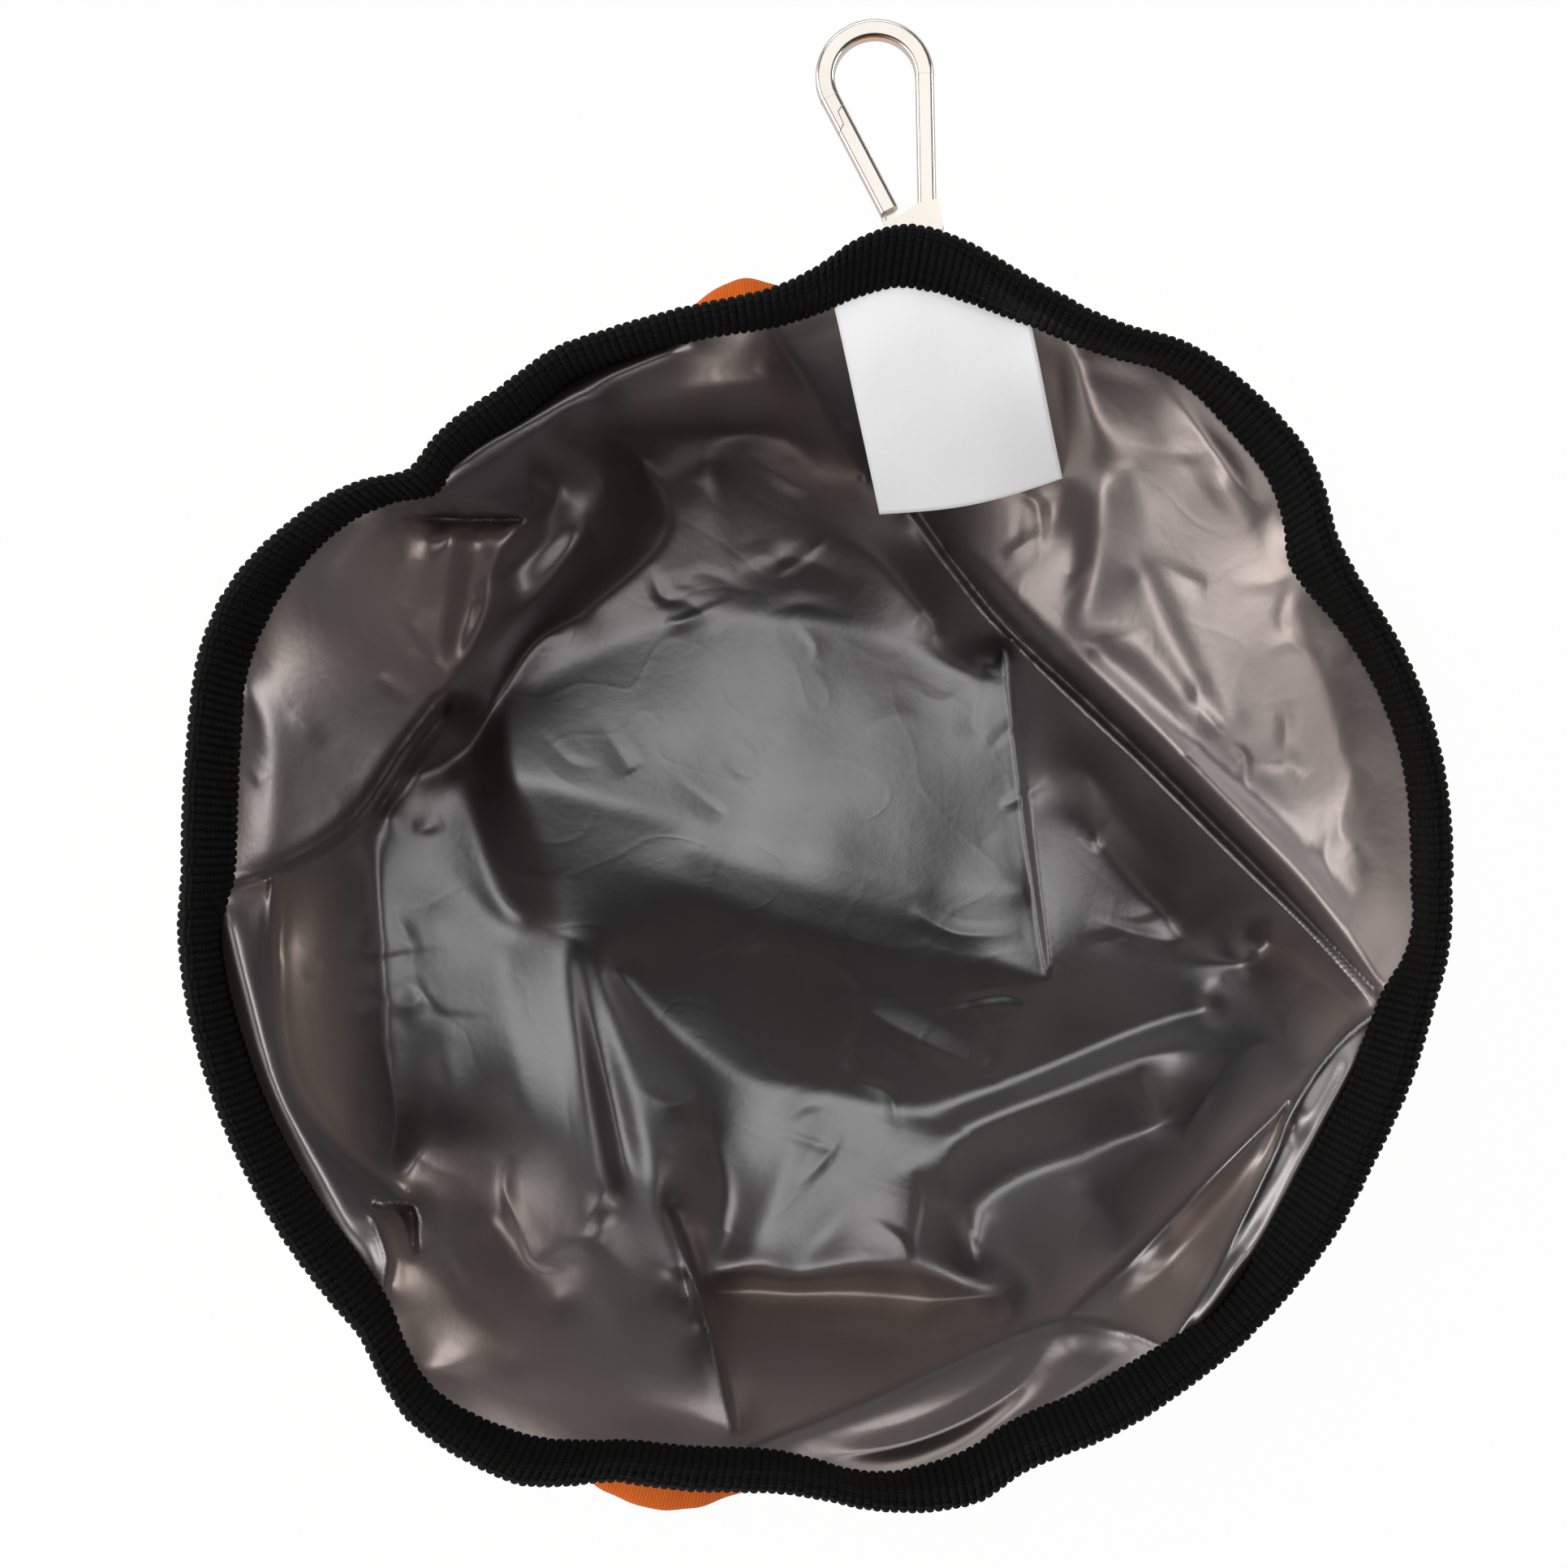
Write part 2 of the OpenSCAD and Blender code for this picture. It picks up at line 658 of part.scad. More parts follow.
module hook_body() {
    nose_turn = 90 + leg_lean;
    stub = notch_along[len(notch_along) - 1];
    slot_depth = foot_depth + foot_spine_h;
    color("gainsboro") place_clip() difference() {
        union() {
            translate([nose_x, 0, 0]) rotate([0, 0, -nose_turn]) rotate_extrude(angle = 2 * nose_turn)
                translate([nose_r, 0]) bar_section(bar_t);
            leg_bar(-1, -lap, leg_length(0) + lap);
            difference() {
                leg_bar(1, -lap, stub + lap);
                notch_side(1, stub + bar_t);
            }
            linear_extrude(foot_t, center = true) foot_outline();
        }
        translate([foot_start - overrun, 0, 0]) rotate([0, 90, 0])
            cylinder(h = foot_depth + foot_spine_h + 2 * overrun, r = post_r + run_fit);
        translate([head_seat - run_fit, 0, 0]) rotate([0, 90, 0])
            cylinder(h = foot_spine_h + overrun, r = post_head_r + 3 * run_fit);
        translate(pin_place) linear_extrude(slot_t, center = true) polygon([
            [-slot_r, -slot_r], [0, -slot_r], [slot_depth, -slot_r - slot_depth * tan(gate_swing)],
            [slot_depth, foot_w], [-slot_r, foot_w]
        ]);
        translate(pin_place) cylinder(h = foot_t + 2 * overrun, r = pin_r, center = true);
    }
}

module gate_pin() {
    color("silver") place_clip() translate(pin_place) cylinder(h = foot_t, r = pin_r, center = true);
}

// Coils round the pin: one end runs up into the gate's shoulder, the other lies in the foot's slot
module gate_spring() {
    steps = spring_turns * spring_turn_steps;
    coil = [
        for (i = [0:steps])
            let (turn = (spring_turns + 0.5) * i / steps)
            [
                spring_r * cos(90 + 360 * turn), spring_r * sin(90 + 360 * turn),
                spring_low + spring_pitch * turn
            ]
    ];
    gate_end = coil[0] + [hook_foot + shoulder_h + spring_hole_h / 2 - pin_place[0], 0, 0];
    path = concat([gate_end], coil, [coil[steps] + [spring_leg, 0, 0]]);
    color("silver") place_clip() translate(pin_place) wire(path, spring_wire_d / 2, spring_sides);
}

module hook_gate() {
    top = notch_along[0] - notch_gap;
    root = leg_length(shoulder_h);
    color("gainsboro") place_clip() difference() {
        union() {
            difference() {
                leg_bar(1, top, root - top);
                notch_side(-1, -nose_r);
            }
            translate([0, 0, tongue_low]) {
                translate(pin_place) cylinder(h = tongue_t, r = tongue_r);
                linear_extrude(tongue_t) polygon([
                    pin_place + [0, tongue_r * 3 / 4], pin_place - [0, tongue_r / 2],
                    leg_place(1, root - bar_t / 2, lap - leg_t / 2), leg_place(1, root - bar_t / 2, leg_t / 2 - lap)
                ]);
            }
        }
        translate(pin_place) cylinder(h = foot_t, r = pin_r + run_fit, center = true);
        translate([hook_foot, pin_place[1] + spring_r, spring_low]) rotate([0, 90, 0])
            cylinder(h = shoulder_h + spring_hole_h, r = spring_wire_d / 2 + run_fit);
    }
}

outer_base();
outer_wall();
lining_base();
lining_wall();
rim_binding();
care_label();
hook_tab();
swivel_eye();
hook_body();
gate_pin();
gate_spring();
hook_gate();
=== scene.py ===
"""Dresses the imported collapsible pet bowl: film lining, cloth, ribbed edge tape, label and clip."""
import json
import math

import bpy
import numpy as np
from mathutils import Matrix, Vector


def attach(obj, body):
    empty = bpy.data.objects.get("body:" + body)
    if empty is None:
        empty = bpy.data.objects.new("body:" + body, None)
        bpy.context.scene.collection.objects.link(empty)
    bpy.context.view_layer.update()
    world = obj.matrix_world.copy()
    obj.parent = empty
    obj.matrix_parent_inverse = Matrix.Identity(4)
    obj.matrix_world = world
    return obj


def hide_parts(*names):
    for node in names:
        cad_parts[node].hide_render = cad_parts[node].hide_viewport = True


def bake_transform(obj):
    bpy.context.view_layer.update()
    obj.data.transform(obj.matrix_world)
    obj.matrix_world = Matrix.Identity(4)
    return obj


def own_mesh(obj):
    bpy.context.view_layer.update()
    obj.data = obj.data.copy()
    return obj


bl_info = {
    "name": "Collapsible Pet Bowl",
    "version": (1, 0, 0),
    "blender": (4, 5, 0),
    "location": "3D Viewport > Sidebar > Pet Bowl",
    "description": "Builds the film, cloth, tape, label and clip of a collapsible pet bowl",
    "category": "Object",
}

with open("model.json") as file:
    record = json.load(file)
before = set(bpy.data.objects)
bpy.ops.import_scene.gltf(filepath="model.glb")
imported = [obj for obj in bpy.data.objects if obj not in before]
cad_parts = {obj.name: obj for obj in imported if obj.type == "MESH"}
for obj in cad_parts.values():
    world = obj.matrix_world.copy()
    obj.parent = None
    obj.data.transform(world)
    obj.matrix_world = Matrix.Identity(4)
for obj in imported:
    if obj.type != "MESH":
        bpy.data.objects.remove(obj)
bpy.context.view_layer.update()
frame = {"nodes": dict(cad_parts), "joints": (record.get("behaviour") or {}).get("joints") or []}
MM = 0.001
# The CAD rings have this many sections.
CAD_SECTIONS = 96

# The photograph's camera looks straight down; its view is used to place the folds of the film.
CAMERA_MM = np.array([-6.4, 17.8, 685.0])
LENS_MM, SENSOR_MM, PHOTO_PX = 73.5, 36.0, 1932
PX_PER_SLOPE = LENS_MM / SENSOR_MM * PHOTO_PX


def to_photo(points):
    """Pixel of each point, points in millimetres."""
    down = CAMERA_MM[2] - points[..., 2]
    x = PHOTO_PX / 2 + PX_PER_SLOPE * (points[..., 0] - CAMERA_MM[0]) / down
    y = PHOTO_PX / 2 - PX_PER_SLOPE * (points[..., 1] - CAMERA_MM[1]) / down
    return x, y


def from_photo(x, y, z):
    """Point in millimetres that is seen at a pixel and lies at height z."""
    down = (CAMERA_MM[2] - z) / PX_PER_SLOPE
    right, up = (x - PHOTO_PX / 2) * down, (PHOTO_PX / 2 - y) * down
    return np.stack([right + CAMERA_MM[0], up + CAMERA_MM[1], z], axis=-1)


# Curves and meshes


def curve_through(values, place, pick):
    """Smooth curve through rows, read at places counted in rows; pick turns any number into that of a row."""
    start = np.floor(place).astype(int)
    f = (place - start).reshape(-1, *([1] * (values.ndim - 1)))
    a, b, c, d = (values[pick(start + k)] for k in (-1, 0, 1, 2))
    return 0.5 * (2 * b + (c - a) * f + (2 * a - 5 * b + 4 * c - d) * f**2 + (3 * b - a - 3 * c + d) * f**3)


def ring_curve(values, at):
    """Smooth closed curve through evenly spaced rows, read at angles in degrees."""
    count = len(values)
    return curve_through(values, (np.asarray(at) % 360.0) / 360.0 * count, lambda row: row % count)


def open_curve(values, at):
    """Smooth curve through rows at 0, 1, 2 and so on, read at any place between its ends."""
    last = len(values) - 1
    place = np.clip(np.asarray(at, float), 0, last - 1e-9)
    return curve_through(values, place, lambda row: np.clip(row, 0, last))


def fine_curve(points):
    """Eight points for each stretch of a smooth curve; two points stay a straight line."""
    points = np.asarray(points, float)
    if len(points) == 2:
        return points
    return open_curve(points, np.linspace(0, len(points) - 1, 8 * (len(points) - 1) + 1))


def run_along(points):
    """Length of a line from its start to each of its points."""
    return np.concatenate([[0], np.cumsum(np.linalg.norm(np.diff(points, axis=0), axis=1))])


def smooth_step(t):
    t = np.clip(t, 0, 1)
    return t * t * (3 - 2 * t)


def grid_faces(rows, columns, closed_rows=False):
    """Quads of a grid whose points run row by row."""
    i = np.arange(rows if closed_rows else rows - 1)
    i, j = np.meshgrid(i, np.arange(columns - 1), indexing="ij")
    here, there = i * columns + j, (i + 1) % rows * columns + j
    return np.stack([here, here + 1, there + 1, there], -1).reshape(-1, 4)


def make_piece(name, points_mm, faces, finish, uv_mm=None):
    """A smooth mesh object from points in millimetres; uv_mm gives each point's place on the flat goods."""
    mesh = bpy.data.meshes.new(name)
    points = np.asarray(points_mm, float).reshape(-1, 3) * MM
    loops = np.asarray(faces).ravel().astype(np.int32)
    mesh.vertices.add(len(points))
    mesh.vertices.foreach_set("co", points.astype(np.float32).ravel())
    mesh.loops.add(len(loops))
    mesh.loops.foreach_set("vertex_index", loops)
    mesh.polygons.add(len(faces))
    mesh.polygons.foreach_set("loop_start", np.arange(len(faces), dtype=np.int32) * 4)
    mesh.update(calc_edges=True)
    mesh.validate()
    mesh.polygons.foreach_set("use_smooth", np.ones(len(mesh.polygons), bool))
    if uv_mm is not None:
        layer = mesh.uv_layers.new(name="flat_goods")
        uv = np.asarray(uv_mm, float).reshape(-1, 2)[loops]
        layer.data.foreach_set("uv", uv.astype(np.float32).ravel())
    mesh.materials.append(finish)
    piece = bpy.data.objects.new(name, mesh)
    bpy.context.scene.collection.objects.link(piece)
    return piece


def thicken(piece, thickness, offset=-1.0):
    """Makes a solid of a sheet; offset -1 adds behind it, 0 adds to both sides."""
    solid = piece.modifiers.new("thickness", "SOLIDIFY")
    solid.thickness, solid.offset = thickness, offset
    with bpy.context.temp_override(object=piece, active_object=piece):
        bpy.ops.object.modifier_apply(modifier="thickness")


def add_share(piece, name, values):
    """Stores one number for each point, for the finish to read."""
    attribute = piece.data.attributes.new(name, "FLOAT", "POINT")
    attribute.data.foreach_set("value", np.asarray(values, np.float32).ravel())


def node_points(node):
    """Points of a CAD node in millimetres."""
    return np.array([v.co for v in frame["nodes"][node].data.vertices], float) / MM


def circle_of_sections(node):
    """The CAD ring's own sections: for each of its angles, the section's points as radius and height."""
    co = np.unique(node_points(node).round(3), axis=0)
    turn = np.degrees(np.arctan2(co[:, 1], co[:, 0])) % 360
    place = np.round(turn / (360 / CAD_SECTIONS)).astype(int) % CAD_SECTIONS
    flat = np.stack([np.hypot(co[:, 0], co[:, 1]), co[:, 2]], -1)
    return [flat[place == k] for k in range(CAD_SECTIONS)]


def tape_sections():
    """Foot of the folded tape's section in its middle, and its upward direction, at each CAD angle."""
    rows = []
    for flat in circle_of_sections("rim_binding"):
        middle = flat.mean(0)
        _, _, axes = np.linalg.svd(flat - middle)
        up = axes[0] * np.sign(axes[0][1])
        along = (flat - middle) @ up
        rows.append([*(middle + up * along.min()), *up])
    return np.array(rows)


def cloth_sections():
    """Outer face of the cloth wall at each CAD angle, from the floor to the tape, as radius and height."""
    rows = []
    for flat in circle_of_sections("outer_wall"):
        order = flat[np.argsort(flat[:, 1])]
        # Heights that lie more than 5 mm apart belong to different rings of the wall; there are five rings.
        steps = np.concatenate([[0], np.cumsum(np.diff(order[:, 1]) > 5)])
        rings = [order[steps == k] for k in range(5)]
        rows.append([ring[np.argmax(ring[:, 0])] for ring in rings])
    return np.array(rows)


# Thickness and height of the folded tape over its ribs.
TAPE_T, TAPE_H = 4.85, 12.5
# Film and cloth lie this far to each side of the tape's middle.
SHEET_OFF = 0.6
# The film's edge: its height over the tape's foot, and how much further it runs up inside the tape.
FILM_FOOT, FILM_TUCK = 0.3, 6.2
# Least height of the film, and its distance from the cloth's outer face.
FILM_ROOM = 1.6
TAPE = tape_sections()
CLOTH = cloth_sections()


def tape_frame(turn):
    """Foot, up and in directions of the tape at angles in degrees."""
    row = ring_curve(TAPE, turn)
    up = row[:, 2:] / np.linalg.norm(row[:, 2:], axis=1)[:, None]
    return row[:, :2], up, np.stack([-up[:, 1], up[:, 0]], -1)


def spin(flat, turn):
    """Radius and height turned to angles in degrees."""
    a = np.radians(turn)
    return np.stack([flat[..., 0] * np.cos(a), flat[..., 0] * np.sin(a), flat[..., 1]], -1)


def cloth_profile(turn, places):
    """Outer face of the cloth at angles (n) and places (m, 0 at the floor to 1 at the tape)."""
    rows = np.moveaxis(ring_curve(CLOTH, turn), 1, 0)
    return np.moveaxis(open_curve(rows, np.asarray(places) * (len(rows) - 1)), 0, 1)


# Finishes


class Number:
    """A shader socket that adds, multiplies and compares like a number."""

    def __init__(self, finish, socket):
        self.finish, self.socket = finish, socket

    def _math(self, operation, *values):
        return self.finish.node("ShaderNodeMath", {"operation": operation}, dict(enumerate(values)))

    def __add__(self, other):
        return self._math("ADD", self, other)

    def __sub__(self, other):
        return self._math("SUBTRACT", self, other)

    def __rsub__(self, other):
        return self._math("SUBTRACT", other, self)

    def __mul__(self, other):
        return self._math("MULTIPLY", self, other)

    __radd__, __rmul__ = __add__, __mul__

    def size(self):
        return self._math("ABSOLUTE", self)

    def sine(self):
        return self._math("SINE", self)

    def most(self, other):
        return self._math("MAXIMUM", self, other)

    def between(self, low, high):
        """0 below low, 1 above high, smooth between."""
        return self.finish.node(
            "ShaderNodeMapRange",
            {"interpolation_type": "SMOOTHSTEP"},
            {"Value": self, "From Min": low, "From Max": high},
        )


class Finish:
    """A material whose nodes are made from expressions."""

    def __init__(self, name, **shader):
        self.material = bpy.data.materials.new(name)
        self.material.use_nodes = True
        self.tree = self.material.node_tree
        self.shader = self.tree.nodes["Principled BSDF"]
        self.set(**shader)

    def set(self, **values):
        """Sets the shader's sockets, named with underscores, to numbers, colours or links."""
        for name, value in values.items():
            self._feed(self.shader.inputs[name.replace("_", " ")], value)

    def _feed(self, socket, value):
        if isinstance(value, Number):
            self.tree.links.new(value.socket, socket)
        elif hasattr(value, "__len__") and len(value) == 3 and len(socket.default_value) == 4:
            socket.default_value = (*value, 1)
        else:
            socket.default_value = value

    def node(self, kind, settings=None, inputs=None, output=0):
        """Output of a new node with its settings and the values or links of its sockets."""
        made = self.tree.nodes.new(kind)
        for name, value in (settings or {}).items():
            setattr(made, name, value)
        for name, value in (inputs or {}).items():
            self._feed(made.inputs[name], value)
        return Number(self, made.outputs[output])

    def place(self):
        return self.node("ShaderNodeTexCoord", output="Object")

    def flat_place(self):
        """Place on the flat goods in millimetres, as two numbers."""
        uv = self.node("ShaderNodeUVMap", {"uv_map": "flat_goods"})
        return (
            self.node("ShaderNodeSeparateXYZ", {}, {0: uv}, output=0),
            self.node("ShaderNodeSeparateXYZ", {}, {0: uv}, output=1),
        )

    def share(self, name):
        return self.node("ShaderNodeAttribute", {"attribute_name": name}, output="Fac")

    def cloud(self, scale, detail=3.0, rough=0.5, place=None):
        """Soft noise between 0 and 1."""
        return self.node(
            "ShaderNodeTexNoise",
            {},
            {"Vector": place or self.place(), "Scale": scale, "Detail": detail, "Roughness": rough},
        )

    def mix(self, factor, low, high):
        """Colour between two others."""
        node = self.tree.nodes.new("ShaderNodeMix")
        node.data_type = "RGBA"
        for name, value in (("Factor_Float", factor), ("A_Color", low), ("B_Color", high)):
            socket = next(s for s in node.inputs if s.identifier == name)
            self._feed(socket, value)
        return Number(self, next(s for s in node.outputs if s.identifier == "Result_Color"))

    def bump(self, height, strength, depth, after=None):
        """Normal of a surface whose height is a number; depth in metres."""
        inputs = {"Height": height, "Strength": strength, "Distance": depth}
        if after is not None:
            inputs["Normal"] = after
        return self.node("ShaderNodeBump", {}, inputs)


def shade(colour, share):
    """A colour made darker or lighter."""
    return [min(1, c * share) for c in colour]


def film_finish(values):
    """Satin silver-grey film; where the orange cloth lies close behind, painted orange light from the cloth
    is mixed into its colour.
    """
    f = Finish("silver_film", Specular_IOR_Level=0.5)
    orange_light = f.share("painted_orange_light")
    spots = f.cloud(28, 4, 0.6)
    grey = f.mix(spots.between(0.3, 0.75), values.film_grey, shade(values.film_grey, 0.9))
    # Painted light: orange light from the cloth behind the film is painted into its colour where the share is
    # high.
    f.set(Base_Color=f.mix(orange_light, grey, values.film_orange_lit))
    f.set(Metallic=values.film_metal - 0.3 * orange_light)
    f.set(Roughness=values.film_gloss + 0.08 * f.cloud(60, 3, 0.6))
    soft = f.cloud(90, 4, 0.55)
    tiny = f.cloud(900, 2, 0.5)
    f.set(Normal=f.bump(tiny, 0.1, 0.0002, after=f.bump(soft, 0.2, 0.001)))
    return f.material


def weave_height(u, v, pitch):
    """Plain weave: over and under threads, pitch in millimetres."""
    turn = math.pi / pitch
    warp, weft = (u * turn).sine(), (v * turn).sine()
    over = (warp * weft).between(-0.4, 0.4)
    return over * warp.size() + (1 - over) * weft.size()


def cloth_finish(values):
    """Orange woven polyester, with painted shade between the threads."""
    f = Finish("orange_polyester", Specular_IOR_Level=0.12)
    u, v = f.flat_place()
    threads = weave_height(u, v, 0.55)
    worn = f.cloud(35, 5, 0.6)
    # Painted shade: the low parts of the weave are darker.
    threads_with_shade = f.mix(threads.between(0.1, 0.9), shade(values.cloth_orange, 0.55), values.cloth_orange)
    f.set(Base_Color=f.mix(worn.between(0.3, 0.9) * 0.4, threads_with_shade, shade(values.cloth_orange, 1.1)))
    f.set(Roughness=0.62 + 0.15 * (1 - threads))
    f.set(Normal=f.bump(threads, 0.7, 0.00018, after=f.bump(f.cloud(220, 3), 0.2, 0.0005)))
    return f.material


def tape_finish(values):
    """Black ribbed polyester tape with fine yarn lines, a little lint and painted shade between the ribs."""
    f = Finish("black_ribbed_tape", Specular_IOR_Level=0.10)
    u, v = f.flat_place()
    yarn = (v * (2 * math.pi / 0.42) + 3 * f.cloud(400, 2)).sine()
    twist = ((u + 0.6 * v) * (2 * math.pi / 0.5)).sine()
    dust = f.cloud(160, 6, 0.7).between(0.66, 0.8)
    painted_rib_shade = f.share("painted_rib_shade")
    # Painted shade: the black is darker still in the valleys between ribs and knots.
    black_with_shade = f.mix(painted_rib_shade, values.tape_black, shade(values.tape_black, 0.12))
    f.set(Base_Color=f.mix(dust * 0.25, black_with_shade, (0.02, 0.02, 0.021)))
    f.set(Roughness=0.5 + 0.2 * f.cloud(300, 3))
    f.set(Normal=f.bump(yarn * 0.5 + twist * 0.5, 0.35, 0.0001))
    return f.material


def glowing_satin_finish(values):
    """White satin label, blank; it glows a little, painted light that adds to the lamps."""
    # Painted light: the label glows, so it looks brighter than the lamps alone make it.
    f = Finish("white_satin_glowing", Specular_IOR_Level=0.5, Emission_Color=(1, 1, 1), Emission_Strength=0.3)
    u, v = f.flat_place()
    fine = (u * (2 * math.pi / 0.3)).sine() * 0.6 + (v * (2 * math.pi / 0.45)).sine() * 0.4
    edge = f.share("edge")
    white = f.mix(f.cloud(50, 4).between(0.35, 0.75), values.label_white, shade(values.label_white, 0.95))
    f.set(Base_Color=f.mix(edge, white, shade(values.label_white, 0.8)))
    f.set(Roughness=0.46 + 0.1 * f.cloud(120, 3))
    f.set(Normal=f.bump(fine, 0.2, 0.00006, after=f.bump(f.cloud(70, 4, 0.6), 0.3, 0.0008)))
    return f.material


def webbing_finish():
    """Dark webbing with a herringbone weave."""
    f = Finish("black_webbing", Specular_IOR_Level=0.4, Sheen_Weight=0.15)
    u, v = f.flat_place()
    chevron = ((u * 2.2).sine().size() * 2 + v * 4.5).sine()
    f.set(Base_Color=f.mix(chevron.between(-1, 1), (0.008, 0.008, 0.009), (0.03, 0.03, 0.032)))
    f.set(Roughness=0.6 + 0.1 * f.cloud(300))
    f.set(Normal=f.bump(chevron, 0.6, 0.0002))
    return f.material


def metal_finish(name, colour, gloss):
    """Nickel plate: bright, slightly uneven, with fine handling marks."""
    f = Finish(name, Metallic=1.0)
    uneven = f.cloud(70, 3, 0.5)
    stretched = f.node("ShaderNodeMapping", {}, {"Vector": f.place(), "Scale": (900, 90, 400)})
    marks = f.cloud(1, 8, 0.75, place=stretched)
    f.set(Base_Color=f.mix(uneven.between(0.3, 0.8), colour, shade(colour, 0.93)))
    f.set(Roughness=gloss + 0.12 * marks.between(0.55, 0.8) + 0.06 * uneven)
    f.set(Normal=f.bump(marks, 0.12, 0.00005, after=f.bump(uneven, 0.15, 0.0008)))
    return f.material


# Folds of the film


class Skin:
    """A skin stretched over wires, creased along them; its places are the photograph's pixels."""

    # First pixel and width of the stretched square.
    LOW, SIDE = 180, 1664
    # Sizes of the cells in pixels, from coarse to fine, and how often each grid is relaxed.
    GRIDS = ((16, 500), (8, 250), (4, 150), (2, 90))
    FINEST = 2
    # Share of the way to the neighbours' mean that one round moves.
    PULL = 0.8

    def __init__(self):
        self.wires = []

    def wire(self, orange_light, points, crisp=False):
        """A line of points (x, y, height in millimetres); the first argument is the share of painted orange
        light, from the cloth behind, that the film has there.
        """
        points = fine_curve(points)
        self.wires.append((orange_light, points, crisp))
        return points

    def lip(self, orange_light, behind, gap, points):
        """A raised edge of points (x, y, height, drop): its left side is up and drops to what lies behind,
        which has its own share of painted orange light.
        """
        path = self.wire(orange_light, points, crisp=True)
        along = np.gradient(path[:, :2], axis=0)
        along /= np.linalg.norm(along, axis=1)[:, None]
        under = path[:, :3].copy()
        under[:, 0] -= along[:, 1] * gap
        under[:, 1] += along[:, 0] * gap
        under[:, 2] -= path[:, 3]
        self.wires.append((behind, under, True))

    def _held(self, step, count, crisp=(False, True)):
        """Mean height and share of painted orange light of the wires in each cell, and which cells hold any.
        """
        total, hits = np.zeros((count * count, 2)), np.zeros(count * count)
        for orange_light, points in [w[:2] for w in self.wires if w[2] in crisp]:
            for p, q in zip(points[:-1], points[1:]):
                n = max(2, int(np.hypot(*(q - p)[:2]) / step * 2) + 1)
                t = np.linspace(0, 1, n)[:, None]
                line = p[:3] * (1 - t) + q[:3] * t
                cell = np.round((line[:, :2] - self.LOW) / step).astype(int)
                cell = np.clip(cell, 0, count - 1) @ [1, count]
                np.add.at(total, cell, np.stack([line[:, 2], np.full(n, orange_light)], -1))
                np.add.at(hits, cell, 1)
        hits = hits.reshape(count, count, 1)
        return total.reshape(count, count, 2) / np.maximum(hits, 1), hits > 0

    def _relax(self, rounds, value=None, held=None):
        """Draws each height towards its neighbours' mean; held ones stay."""
        for _ in range(rounds):
            if held is not None:
                self.level = np.where(held, value, self.level)
            wide = np.pad(self.level, ((1, 1), (1, 1), (0, 0)), "edge")
            around = 0.25 * (wide[2:, 1:-1] + wide[:-2, 1:-1] + wide[1:-1, 2:] + wide[1:-1, :-2])
            self.level = self.level + self.PULL * (around - self.level)

    def _refine(self, count):
        """Doubles the grid's steps, both ways."""
        i = np.arange(count) / 2
        for _ in range(2):
            self.level = 0.5 * (self.level[np.floor(i).astype(int)] + self.level[np.ceil(i).astype(int)])
            self.level = self.level.transpose(1, 0, 2)

    def stretch(self):
        """Works out the skin from coarse to fine."""
        self.level = None
        for step, rounds in self.GRIDS:
            count = self.SIDE // step + 1
            value, held = self._held(step, count)
            if self.level is None:
                self.level = np.zeros((count, count, 2)) + value[held[..., 0]].mean(0)
            else:
                self._refine(count)
            self._relax(rounds, value=value, held=held)
        # Creases are soft, raised edges are crisp.
        self._relax(30)
        value, held = self._held(self.FINEST, count, crisp=(True,))
        self._relax(14, value=value, held=held)
        self._relax(3)

    def read(self, x, y):
        """Height and share of painted orange light at pixels."""
        u = np.clip((x - self.LOW) / self.FINEST, 0, self.level.shape[1] - 1.001)
        v = np.clip((y - self.LOW) / self.FINEST, 0, self.level.shape[0] - 1.001)
        i, j = v.astype(int), u.astype(int)
        fv, fu = (v - i)[..., None], (u - j)[..., None]
        top = self.level[i, j] * (1 - fu) + self.level[i, j + 1] * fu
        low = self.level[i + 1, j] * (1 - fu) + self.level[i + 1, j + 1] * fu
        both = top * (1 - fv) + low * fv
        return both[..., 0], both[..., 1]


